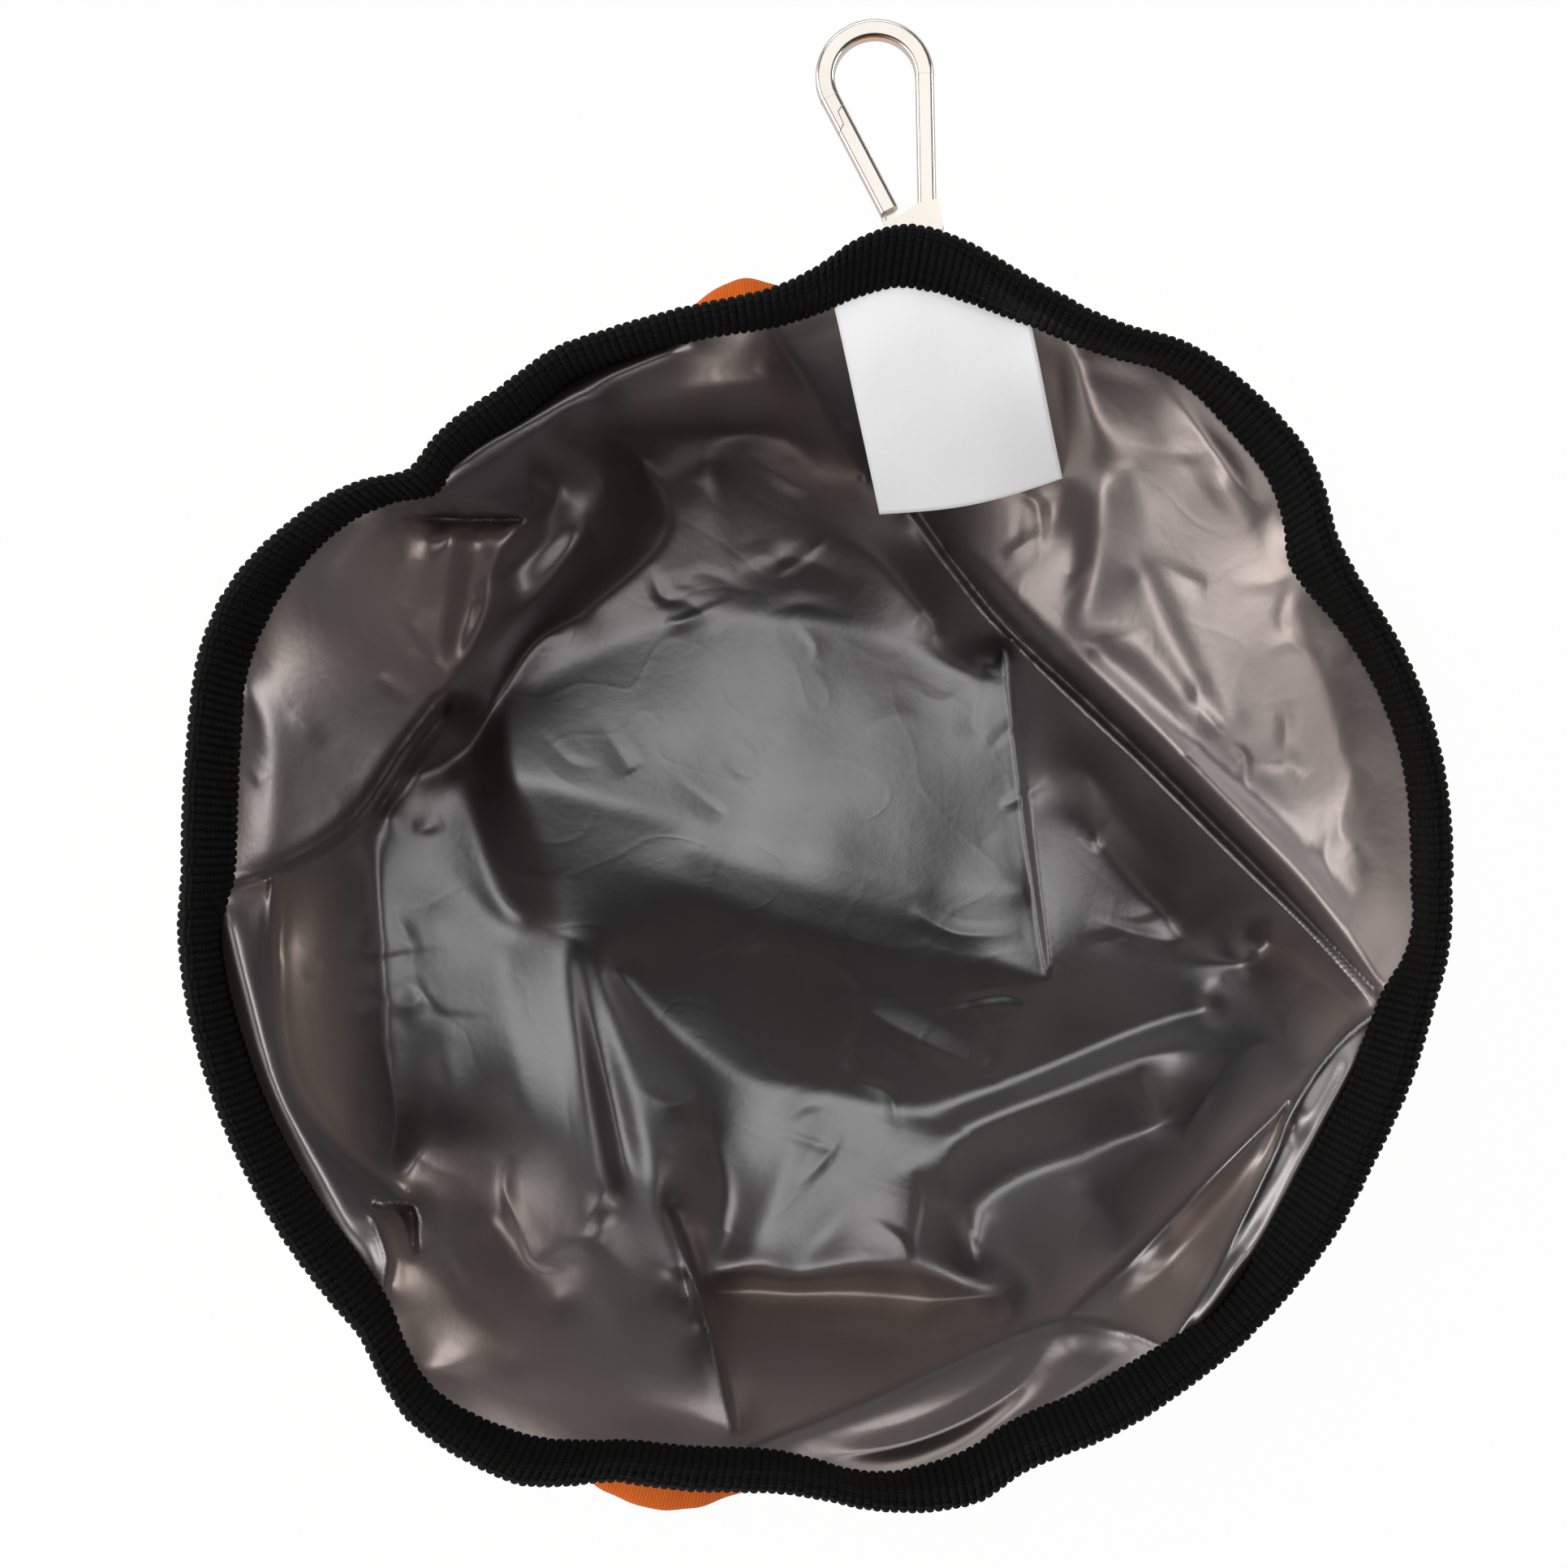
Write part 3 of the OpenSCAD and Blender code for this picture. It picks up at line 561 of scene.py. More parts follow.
class Folds:
    """Small folds: heights, in millimetres, added to the film along the photograph's lines of sight."""

    def __init__(self, x, y):
        self.x, self.y = x.ravel(), y.ravel()
        self.height = np.zeros_like(self.x)

    def _near(self, path, reach):
        """Index of the points near a path, and for each its signed distance and the path's height there."""
        fine = fine_curve(path)
        low, high = fine[:, :2].min(0) - reach, fine[:, :2].max(0) + reach
        inside = (self.x > low[0]) & (self.x < high[0]) & (self.y > low[1]) & (self.y < high[1])
        pick = np.flatnonzero(inside)
        x, y = self.x[pick], self.y[pick]
        best = np.full(len(pick), 1e9)
        signed = np.zeros(len(pick))
        height = np.zeros(len(pick))
        for a, b in zip(fine[:-1], fine[1:]):
            d = b[:2] - a[:2]
            t = np.clip(((x - a[0]) * d[0] + (y - a[1]) * d[1]) / max(d @ d, 1e-9), 0, 1)
            ox, oy = x - a[0] - t * d[0], y - a[1] - t * d[1]
            gap = np.hypot(ox, oy)
            side = np.sign(ox * d[1] - oy * d[0])
            closer = gap < best
            best[closer] = gap[closer]
            signed[closer] = (gap * np.where(side == 0, 1, side))[closer]
            height[closer] = a[2] + t[closer] * (b[2] - a[2])
        return pick, signed, height

    def ridge(self, path, left, right, crest=2.5):
        """A crease along points (x, y, height); left and right are the widths of its flanks."""
        pick, d, height = self._near(path, max(left, right))
        width = np.where(d > 0, left, right)
        away = (np.sqrt(d * d + crest * crest) - crest) / width
        self.height[pick] += height * np.clip(1 - away, 0, 1) ** 1.6

    def ripple(self, seed, length, height, creased=False):
        """Unevenness of about one length: soft, or with thin raised creases."""
        rng = np.random.default_rng(seed)
        total = np.zeros_like(self.x)
        for _ in range(12):
            turn = rng.uniform(0, 2 * math.pi)
            waves = 2 * math.pi / (length * rng.uniform(0.7, 1.5))
            along = self.x * math.cos(turn) + self.y * math.sin(turn)
            total += np.sin(waves * along + rng.uniform(0, 6.3)) / 2.5
        self.height += height * (np.exp(-np.abs(total) / 0.12) if creased else total)

    def dents(self, seed, count, low, high, length, height):
        """Short sharp creases, scattered over a box."""
        rng = np.random.default_rng(seed)
        for _ in range(count):
            x, y = rng.uniform(low, high)
            turn = rng.uniform(0, math.pi)
            size = rng.uniform(0.4, 1) * length
            dx, dy = size * math.cos(turn) / 2, size * math.sin(turn) / 2
            bend = rng.uniform(-0.3, 0.3, 2) * size
            h = rng.uniform(0.4, 1) * height * rng.choice([-1, 1])
            self.ridge(
                [(x - dx, y - dy, 0), (x + bend[0], y + bend[1], h), (x + dx, y + dy, 0)],
                rng.uniform(8, 26),
                rng.uniform(8, 26),
                crest=2,
            )


# Lines of the film's folds, placed over the photograph. Each begins with the share of painted orange light,
# from the cloth behind, that the film has there. A raised edge begins with its own share, that of what lies
# behind it, and the gap between them in pixels. Points follow: pixel x, pixel y, height in millimetres and,
# for a raised edge, its drop.
LONG_RIDGE = (
    (0, (632, 955, 16), (700, 975, 16), (835, 1010, 15.5), (1000, 1058, 15.5), (1130, 1096, 15),
     (1160, 1098, 14), (1278, 1095, 12)),
    (0, (850, 1045, 15.7), (1000, 1092, 15.7), (1140, 1132, 15)),
    (0, (780, 1065, 13.5), (860, 1095, 14), (1000, 1142, 14), (1130, 1180, 13.5)),
)
BOTTOM_MIDDLE = (
    (0, (760, 1190, 3.5), (830, 1270, 2.5), (920, 1330, 2), (1030, 1350, 2), (1120, 1368, 2),
     (1180, 1360, 2.5), (1290, 1318, 3.5), (1400, 1274, 5), (1500, 1246, 9)),
    (0, (1150, 1165, 14), (1230, 1182, 13.5), (1290, 1205, 12), (1330, 1195, 11.5), (1400, 1178, 11.5),
     (1480, 1182, 11.5), (1545, 1192, 12)),
    (0, (655, 850, 6), (760, 790, 5), (880, 760, 4.2), (1000, 765, 4), (1100, 790, 4.2), (1200, 830, 5)),
    ((0, 0, 10), (1244, 790, 6.5, 0.5), (1252, 860, 8.5, 1.6), (1264, 960, 10.5, 2.4),
     (1281, 1090, 12.5, 2.6), (1296, 1195, 13, 1.5)),
    (0.3, (1345, 950, 18), (1420, 1050, 22), (1520, 1130, 32)),
    (0.1, (1330, 1010, 13.5), (1390, 1085, 13.5), (1450, 1135, 12.5)),
)
BOTTOM_LEFT = (
    (0, (455, 1000, 12), (460, 1100, 9), (468, 1250, 15), (478, 1380, 30), (488, 1440, 44)),
    (0, (540, 1130, 8.5), (545, 1250, 13.5), (553, 1340, 19), (560, 1395, 27)),
    (0, (620, 1180, 9), (630, 1260, 12.5), (640, 1340, 17), (650, 1420, 24)),
    (0, (615, 860, 7), (628, 955, 16), (650, 1010, 15), (680, 1090, 12), (692, 1142, 10.5)),
    (0, (568, 945, 8), (590, 1030, 6), (615, 1110, 6), (650, 1135, 7)),
    (0, (470, 1000, 7), (540, 1070, 8), (600, 1120, 8.5), (630, 1148, 9), (692, 1146, 10)),
    (0, (692, 1150, 10), (705, 1240, 12), (722, 1330, 15), (740, 1420, 18), (750, 1490, 21)),
    (0, (715, 1175, 8), (735, 1270, 8), (755, 1360, 9), (772, 1440, 12), (785, 1475, 16)),
    (0, (735, 1200, 8), (755, 1270, 9), (778, 1350, 11), (800, 1440, 13.5), (812, 1478, 16),
     (826, 1490, 16)),
)
BOTTOM_RIGHT = (
    (0, (1160, 1490, 5), (1162, 1450, 8), (1182, 1395, 9), (1300, 1345, 10), (1400, 1303, 13),
     (1500, 1275, 22), (1560, 1268, 42), (1588, 1292, 56), (1602, 1342, 70)),
    (0, (1205, 1560, 2), (1200, 1490, 2), (1260, 1450, 2), (1350, 1420, 3.5), (1450, 1385, 10),
     (1540, 1330, 42)),
    (0, (1330, 1470, 6), (1370, 1500, 18), (1385, 1545, 36), (1350, 1590, 40)),
)
BOTTOM_FRONT = (
    (0, (1000, 1365, 3.5), (975, 1430, 7), (945, 1500, 9), (925, 1548, 10)),
    (0, (1045, 1490, 7), (1010, 1530, 8), (970, 1575, 12)),
    (0, (1100, 1450, 7.5), (1150, 1430, 8)),
    (0, (880, 1400, 3), (900, 1470, 3), (890, 1540, 6)),
    (0.1, (848, 1578, 12), (930, 1560, 13), (975, 1577, 12), (1050, 1560, 12), (1130, 1562, 11),
     (1200, 1578, 12), (1242, 1578, 15), (1252, 1600, 20)),
)
LEFT_PANEL = (
    ((0.15, 0.9, 5), (285, 1088, 75, 5), (337, 1074, 67, 10), (400, 1042, 57, 24), (450, 1000, 48, 36),
     (500, 925, 44, 34), (548, 862, 42, 30)),
    (0.8, (548, 862, 42), (545, 800, 47), (550, 720, 52), (558, 645, 61)),
    (0.6, (552, 862, 42), (590, 762, 45), (620, 680, 47), (637, 640, 49)),
    (0.9, (566, 812, 39), (584, 730, 43), (600, 650, 50)),
    (0.2, (290, 840, 77), (330, 900, 72), (335, 1000, 70), (325, 1070, 70)),
    (0.2, (700, 755, 6), (645, 790, 5), (612, 850, 5), (590, 905, 5), (560, 940, 5), (505, 955, 5)),
)
LEFT_PLEAT = (
    ((0, 0.9, 5), (500, 628, 70, 10), (560, 633, 60, 20), (642, 633, 50, 14)),
    (0, (643, 630, 48), (650, 600, 54), (655, 575, 62)),
    (0, (500, 606, 78), (555, 572, 78.5), (635, 520, 79), (735, 474, 79), (835, 430, 79)),
    (0, (512, 620, 76), (575, 585, 76), (655, 538, 75.5), (748, 492, 75)),
    (0.2, (532, 634, 66), (600, 600, 64), (682, 552, 60), (765, 510, 58)),
)
LEFT_POCKET = (
    (0.3, (685, 556, 57), (722, 560, 46), (752, 590, 36), (742, 625, 31), (690, 660, 30), (640, 690, 34),
     (615, 715, 38)),
    (0.4, (664, 560, 44), (690, 600, 33), (665, 640, 34)),
    (0.2, (712, 668, 31), (672, 728, 32), (628, 790, 28), (590, 850, 22)),
)
UPPER_WALL = (
    (0.8, (775, 520, 50), (800, 505, 58), (850, 493, 64), (900, 484, 65), (955, 468, 65)),
    (0.8, (700, 528, 52), (760, 531, 29), (850, 528, 17), (910, 524, 15), (945, 524, 18), (985, 545, 17),
     (1003, 590, 14)),
    (0.8, (850, 493, 64), (846, 460, 69), (838, 436, 76)),
    (0.8, (780, 475, 73), (850, 450, 71), (905, 432, 71), (945, 412, 73)),
    (0.5, (780, 560, 12), (830, 640, 7), (780, 700, 5), (720, 745, 5)),
    (0.3, (870, 560, 10), (880, 640, 7.5), (900, 700, 5.5)),
)
LEFT_WALL = (
    (1, (400, 1090, 40), (410, 1250, 46), (430, 1380, 54)),
    (0.1, (280, 1130, 78), (305, 1210, 79), (326, 1300, 79), (366, 1385, 80), (412, 1465, 79),
     (448, 1550, 78), (465, 1580, 77)),
    (0, (300, 1170, 76), (325, 1260, 76), (355, 1345, 76), (400, 1435, 76), (440, 1525, 76)),
    ((0.1, 1, 5), (500, 1478, 55, 8), (450, 1443, 64, 9), (400, 1398, 71, 10), (360, 1345, 74, 10),
     (340, 1270, 73, 12), (336, 1180, 67, 14), (337, 1080, 66, 10)),
    ((0, 1, 5), (472, 1592, 76, 8), (479, 1550, 75, 9), (462, 1500, 74, 12), (456, 1490, 72, 12)),
    ((0, 1, 5), (458, 1488, 71, 12), (490, 1484, 62, 12), (512, 1492, 55, 10), (514, 1540, 58, 4)),
)
LOWER_LEFT = (
    (0.5, (505, 1440, 48), (520, 1410, 42), (560, 1400, 33), (600, 1420, 29), (650, 1490, 28),
     (690, 1540, 28)),
    (0.7, (515, 1450, 43), (560, 1535, 50), (575, 1602, 54)),
    (0.7, (600, 1500, 30), (640, 1555, 32), (665, 1575, 32)),
    (0.8, (575, 1602, 54), (620, 1595, 44), (690, 1605, 34)),
    (0.8, (500, 1540, 65), (560, 1600, 58), (630, 1680, 56)),
    (0.7, (505, 1688, 68), (600, 1690, 62), (700, 1712, 60), (800, 1738, 58), (880, 1758, 60),
     (905, 1768, 62)),
    (0.3, (740, 1510, 20), (745, 1600, 36), (790, 1700, 52)),
    ((0, 1, 5), (905, 1765, 63, 10), (880, 1660, 48, 14), (850, 1560, 26, 14), (826, 1490, 16, 8)),
)
LOWER_WALL = (
    (1, (855, 1600, 5), (930, 1590, 4), (1050, 1592, 4), (1150, 1605, 5), (1235, 1625, 14)),
    (0.9, (870, 1640, 20), (1000, 1640, 18), (1100, 1660, 22), (1180, 1640, 20)),
    ((0.1, 1, 5), (1445, 1662, 75, 3), (1380, 1636, 70, 9), (1300, 1628, 56, 14), (1180, 1672, 54, 18),
     (1050, 1732, 62, 10), (920, 1784, 70, 4)),
    (0.5, (960, 1785, 71), (1090, 1740, 66), (1220, 1700, 62), (1330, 1665, 62)),
)
LOWER_RIGHT = (
    ((0, 1, 9), (1600, 1345, 74, 6), (1500, 1442, 67, 9), (1400, 1545, 47, 13), (1310, 1626, 48, 5)),
    (1, (1380, 1625, 56), (1450, 1550, 50), (1540, 1440, 67), (1590, 1380, 69)),
    ((0, 1, 5), (1712, 1238, 75, 2), (1658, 1275, 77, 7), (1604, 1343, 77, 9), (1560, 1440, 78, 8),
     (1505, 1550, 75, 10), (1442, 1658, 76, 4)),
    (0.2, (1690, 1290, 80), (1620, 1400, 82), (1555, 1520, 81), (1480, 1635, 79)),
    (0.2, (1650, 1310, 75), (1590, 1430, 76), (1530, 1545, 74)),
)
DIAGONAL_ROLL = (
    ((0.5, 0.3, 9), (1700, 1240, 73, 3), (1600, 1135, 60, 8), (1500, 1035, 50, 10), (1400, 935, 40, 10),
     (1310, 850, 31, 9), (1230, 775, 24, 8), (1170, 700, 18, 5), (1120, 630, 14, 3)),
    (0.6, (1150, 630, 20), (1190, 680, 26), (1256, 752, 34), (1336, 826, 42), (1426, 910, 50),
     (1526, 1010, 57), (1622, 1112, 66), (1702, 1230, 74)),
    (0.5, (1350, 800, 42), (1410, 856, 47), (1472, 916, 51), (1555, 990, 56), (1615, 1050, 62),
     (1660, 1135, 68)),
    (0.6, (1335, 775, 45), (1400, 795, 51), (1470, 865, 55), (1550, 935, 60), (1640, 1002, 66),
     (1686, 1060, 70)),
)
RIGHT_WALL = (
    (0.6, (1395, 575, 60), (1430, 690, 58), (1470, 790, 58), (1520, 890, 60)),
    (0.6, (1405, 700, 53), (1450, 800, 54), (1500, 890, 56)),
    (0.8, (1500, 595, 73), (1552, 660, 74), (1602, 752, 75), (1648, 880, 73), (1686, 1050, 69),
     (1703, 1225, 72)),
    (0.6, (1338, 590, 52), (1330, 690, 44), (1310, 760, 40), (1306, 815, 38)),
    (0.6, (1350, 600, 56), (1345, 690, 50), (1330, 760, 45)),
    (0.6, (1160, 683, 23), (1230, 690, 31), (1310, 686, 42)),
    (0.8, (1320, 440, 76), (1345, 520, 66), (1395, 575, 60)),
    (0.9, (1312, 450, 65), (1322, 560, 49), (1300, 640, 39)),
    (0.9, (1250, 440, 60), (1262, 520, 47), (1268, 590, 37)),
)
UNDER_LABEL = (
    (0.5, (1140, 396, 67), (1150, 445, 56), (1165, 530, 36)),
    (0.5, (960, 620, 11), (1010, 650, 9), (1080, 690, 6), (1160, 770, 4)),
    ((0, 0.9, 5), (950, 394, 76, 4), (990, 455, 60, 14), (1030, 520, 40, 12), (1072, 584, 20, 6)),
    (0.1, (1080, 400, 74), (1080, 500, 44), (1095, 600, 16)),
    (1, (960, 570, 14), (1010, 590, 14), (1070, 610, 14)),
)
RIGHT_CORNER = (
    (1, (1560, 1150, 12), (1630, 1200, 46), (1640, 1260, 56), (1610, 1300, 58)),
)
FOLD_LINES = (
    LONG_RIDGE + BOTTOM_MIDDLE + BOTTOM_LEFT + BOTTOM_RIGHT + BOTTOM_FRONT + LEFT_PANEL + LEFT_PLEAT
    + LEFT_POCKET + UPPER_WALL + LEFT_WALL + LOWER_LEFT + LOWER_WALL + LOWER_RIGHT + DIAGONAL_ROLL
    + RIGHT_WALL + UNDER_LABEL + RIGHT_CORNER
)


def small_folds(f):
    """Short ridges, creases and dents."""
    f.ridge([(1340, 1130, 0), (1400, 1150, 0.8), (1470, 1165, 0)], 14, 30, crest=2)
    f.ridge([(890, 725, 0), (960, 690, 0.5), (1020, 700, 0.5), (1060, 730, 0)], 22, 34, crest=4)
    f.ridge([(930, 760, 0), (990, 745, 0.3), (1050, 760, 0)], 16, 24, crest=3)
    f.ridge([(790, 740, 0), (840, 720, 0.4), (880, 735, 0)], 18, 24, crest=3)
    f.ridge([(1040, 1230, 0), (1150, 1290, 0.8), (1240, 1330, 0)], 26, 26)
    f.ridge([(480, 1120, 0), (500, 1150, 0.5), (512, 1200, 0)], 16, 22, crest=3)
    f.ridge([(1120, 1120, 0), (1180, 1150, 0.8), (1260, 1150, 0)], 16, 20, crest=2)
    f.ridge([(1300, 1650, 0), (1240, 1720, 3), (1130, 1775, 4), (1000, 1800, 0)], 26, 26, crest=3)
    f.ridge([(1380, 1670, 0), (1280, 1740, 3), (1200, 1790, 2)], 12, 14, crest=2)
    f.ridge([(1440, 470, 0), (1500, 560, 2), (1560, 640, 0)], 40, 40, crest=4)
    f.ripple(3, 300, 0.5)
    f.ripple(4, 120, 0.12)
    f.ripple(5, 150, 0.05, creased=True)
    f.dents(5, 34, (480, 1150), (1560, 1620), 130, 0.7)
    f.dents(6, 20, (620, 600), (1300, 1150), 100, 0.35)
    f.dents(7, 30, (300, 640), (560, 1560), 90, 0.5)
    f.dents(11, 26, (560, 470), (1100, 760), 110, 0.6)
    f.dents(9, 30, (1200, 500), (1680, 1150), 120, 0.6)


# What a user may change


def colour(name, default):
    return bpy.props.FloatVectorProperty(
        name=name, description=name, subtype="COLOR", size=3, min=0, max=1, default=default
    )


def share(name, description, default, top=1.0):
    return bpy.props.FloatProperty(
        name=name, description=description, subtype="FACTOR", min=0, max=top, default=default
    )


def millimetres(name, description, default, low, high):
    return bpy.props.FloatProperty(
        name=name, description=description + ", in millimetres", min=low, max=high, default=default
    )


def whole_number(name, description, default, low, high):
    return bpy.props.IntProperty(name=name, description=description, min=low, max=high, default=default)


class BowlLooks(bpy.types.PropertyGroup):
    """Colours and gloss of the goods."""

    film_grey: colour("Grey of the film", (0.275, 0.27, 0.275))
    # Painted light: the film's colour where orange light from the cloth behind is painted in.
    film_orange_lit: colour("Film with orange cloth behind it", (0.33, 0.265, 0.24))
    film_metal: share("Metallic share of the film", "How metallic the film is away from the cloth", 1.0)
    film_gloss: share("Roughness of the film", "Roughness before its unevenness", 0.35)
    cloth_orange: colour("Orange of the cloth", (0.80, 0.145, 0.005))
    tape_black: colour("Black of the tape", (0.0036, 0.0034, 0.0032))
    label_white: colour("White of the label", (0.93, 0.93, 0.95))
    nickel: colour("Nickel plate", (0.74, 0.695, 0.635))


class BowlSizes(bpy.types.PropertyGroup):
    """Sizes of the goods' details."""

    rib_pitch: millimetres("Rib pitch", "Distance from rib to rib of the tape", 1.65, 1.0, 3.0)
    rib_height: millimetres("Rib height", "How far a rib stands out", 0.62, 0.0, 0.9)
    film_columns: whole_number("Film columns", "Points of the film round the bowl", 960, 96, 2000)
    film_rows: whole_number("Film rows", "Points of the film from its middle to the tape", 250, 40, 600)
    fold_share: share("Fold height", "Height of the film's folds as a share of the real one", 1.0, top=1.5)


# Pieces


class PETBOWL_OT_lining(bpy.types.Operator):
    """Builds the loose film lining with its folds"""

    bl_idname = "petbowl.lining"
    bl_label = "Film Lining"

    def execute(self, context):
        sizes = context.scene.bowl_sizes
        columns, rows = sizes.film_columns, sizes.film_rows
        tucked = 6
        turn = np.arange(columns) * 360 / columns
        foot, up, inward = tape_frame(turn)
        edge = spin(foot + inward * SHEET_OFF + up * FILM_FOOT, turn)
        edge_x, edge_y = to_photo(edge)
        skin = Skin()
        loop = np.stack([edge_x, edge_y, edge[:, 2]], -1)
        # The film's edge under the tape gets this share of painted orange light.
        skin.wires.append((0.7, np.concatenate([loop, loop[:1]]), True))
        for orange_light, *points in FOLD_LINES:
            if isinstance(orange_light, tuple):
                skin.lip(*orange_light, points)
            else:
                skin.wire(orange_light, points)
        skin.stretch()
        reach = np.linspace(0, 1, rows - tucked) ** 0.85
        centre = to_photo(np.array([0.0, 0.0, 2.0]))
        x = centre[0] + (edge_x[:, None] - centre[0]) * reach
        y = centre[1] + (edge_y[:, None] - centre[1]) * reach
        height, orange_light = skin.read(x, y)
        height = np.maximum(height, self.lowest(turn, x, y, centre))
        folds = Folds(x, y)
        small_folds(folds)
        height = height + folds.height.reshape(x.shape) * smooth_step((1 - reach) / 0.06) * sizes.fold_share
        points = from_photo(x, y, np.maximum(height, FILM_ROOM))
        points[:, -1] = edge
        # The film's edge runs up into the tape.
        rises = [FILM_FOOT + FILM_TUCK * (k + 1) / tucked for k in range(tucked)]
        inside = [spin(foot + inward * SHEET_OFF + up * rise, turn) for rise in rises]
        points = np.concatenate([points, np.stack(inside, 1)], 1)
        orange_light = np.concatenate([orange_light, np.repeat(orange_light[:, -1:], tucked, 1)], 1)
        faces = grid_faces(columns, rows, closed_rows=True)[:, ::-1]
        film = make_piece("film_lining", points, faces, film_finish(context.scene.bowl_looks))
        # Share of painted orange light from the cloth behind, stored for the finish.
        add_share(film, "painted_orange_light", np.clip(orange_light, 0, 1))
        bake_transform(film)
        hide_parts("lining_base", "lining_wall")
        return {"FINISHED"}

    def lowest(self, turn, x, y, centre):
        """Height at which each line of sight meets the inside of the cloth, where film can lie."""
        flat = cloth_profile(turn, np.linspace(0, 1, 25))
        flat[..., 0] -= FILM_ROOM
        wall_x, wall_y = to_photo(spin(flat, turn[:, None]))
        wall_out = np.maximum.accumulate(np.hypot(wall_x - centre[0], wall_y - centre[1]), axis=1)
        out = np.hypot(x - centre[0], y - centre[1])
        rows = zip(out, wall_out, flat[..., 1])
        return np.array([np.interp(at, walls, heights, left=FILM_ROOM) for at, walls, heights in rows])


class PETBOWL_OT_cloth(bpy.types.Operator):
    """Builds the orange cloth of the wall and the bottom"""

    bl_idname = "petbowl.cloth"
    bl_label = "Orange Cloth"

    def execute(self, context):
        finish = cloth_finish(context.scene.bowl_looks)
        self.wall(finish)
        self.bottom(finish)
        return {"FINISHED"}

    def wall(self, finish):
        columns, places = 960, 64
        turn = np.arange(columns) * 360 / columns
        flat = cloth_profile(turn, np.linspace(0, 1, places))
        foot, up, inward = tape_frame(turn)
        top = np.stack([foot - inward * SHEET_OFF + up * rise for rise in (1.0, 4.0, 7.5)], 1)
        flat = np.concatenate([flat[:, :-1], top], 1)
        rows = flat.shape[1]
        level = np.linspace(0, 1, rows)
        flat[..., 0] += self.unevenness(turn, level)
        points = spin(flat, turn[:, None])
        # Mean radius and slanting height of the wall, in millimetres, for its place on the flat goods.
        radius, slant = 105, 92
        u = np.repeat(turn[:, None] * 2 * math.pi * radius / 360, rows, 1)
        v = np.repeat(level[None] * slant, columns, 0)
        faces = grid_faces(columns, rows, closed_rows=True)[:, ::-1]
        wall = make_piece("cloth_wall", points, faces, finish, np.stack([u, v], -1))
        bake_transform(wall)
        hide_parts("outer_wall")

    def unevenness(self, turn, level):
        """How far the wall stands out: gathers run down from the tape, and soft dents lie lower down."""
        rng = np.random.default_rng(12)
        draws = (rng.integers(30, 120, 14), rng.uniform(0.03, 0.14, 14), rng.uniform(0, 6.28, 14))
        gather = sum(high * np.sin(np.radians(turn * waves) + shift) for waves, high, shift in zip(*draws))
        draws = (rng.integers(3, 22, 16), rng.uniform(0.05, 0.3, 16), rng.uniform(0, 6.28, 16))
        leans = rng.uniform(-9, 9, 16)
        slack = sum(
            high * np.sin(np.radians(turn[:, None] * waves) + shift + lean * level[None])
            for waves, high, shift, lean in zip(*draws, leans)
        )
        out = gather[:, None] * level[None] ** 3 + slack * np.sin(np.pi * level)[None] - 0.5
        still = smooth_step(level / 0.06)[None] * smooth_step((1 - level) / 0.03)[None]
        return np.clip(out, -1.1, 0.2) * still

    def bottom(self, finish):
        # Section from the middle of the underside round the stitched edge and back: radius and height.
        section = np.array([
            (0.02, 0.05), (20, 0.05), (40, 0.05), (60, 0.05), (75, 0.05), (86, 0.05), (90.5, 0.04),
            (92.2, 0.02), (93.2, 0.08), (93.9, 0.3), (94.1, 0.6), (93.9, 0.9), (93.2, 1.1), (92, 1.2),
            (80, 1.2), (50, 1.2), (0.02, 1.2),
        ])
        columns, rows = 360, len(section)
        turn = np.arange(columns)
        points = spin(np.broadcast_to(section, (columns, rows, 2)), turn[:, None])
        faces = grid_faces(columns, rows, closed_rows=True)
        bottom = make_piece("cloth_bottom", points, faces, finish, points[..., :2])
        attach(bottom, "base")
        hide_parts("outer_base")


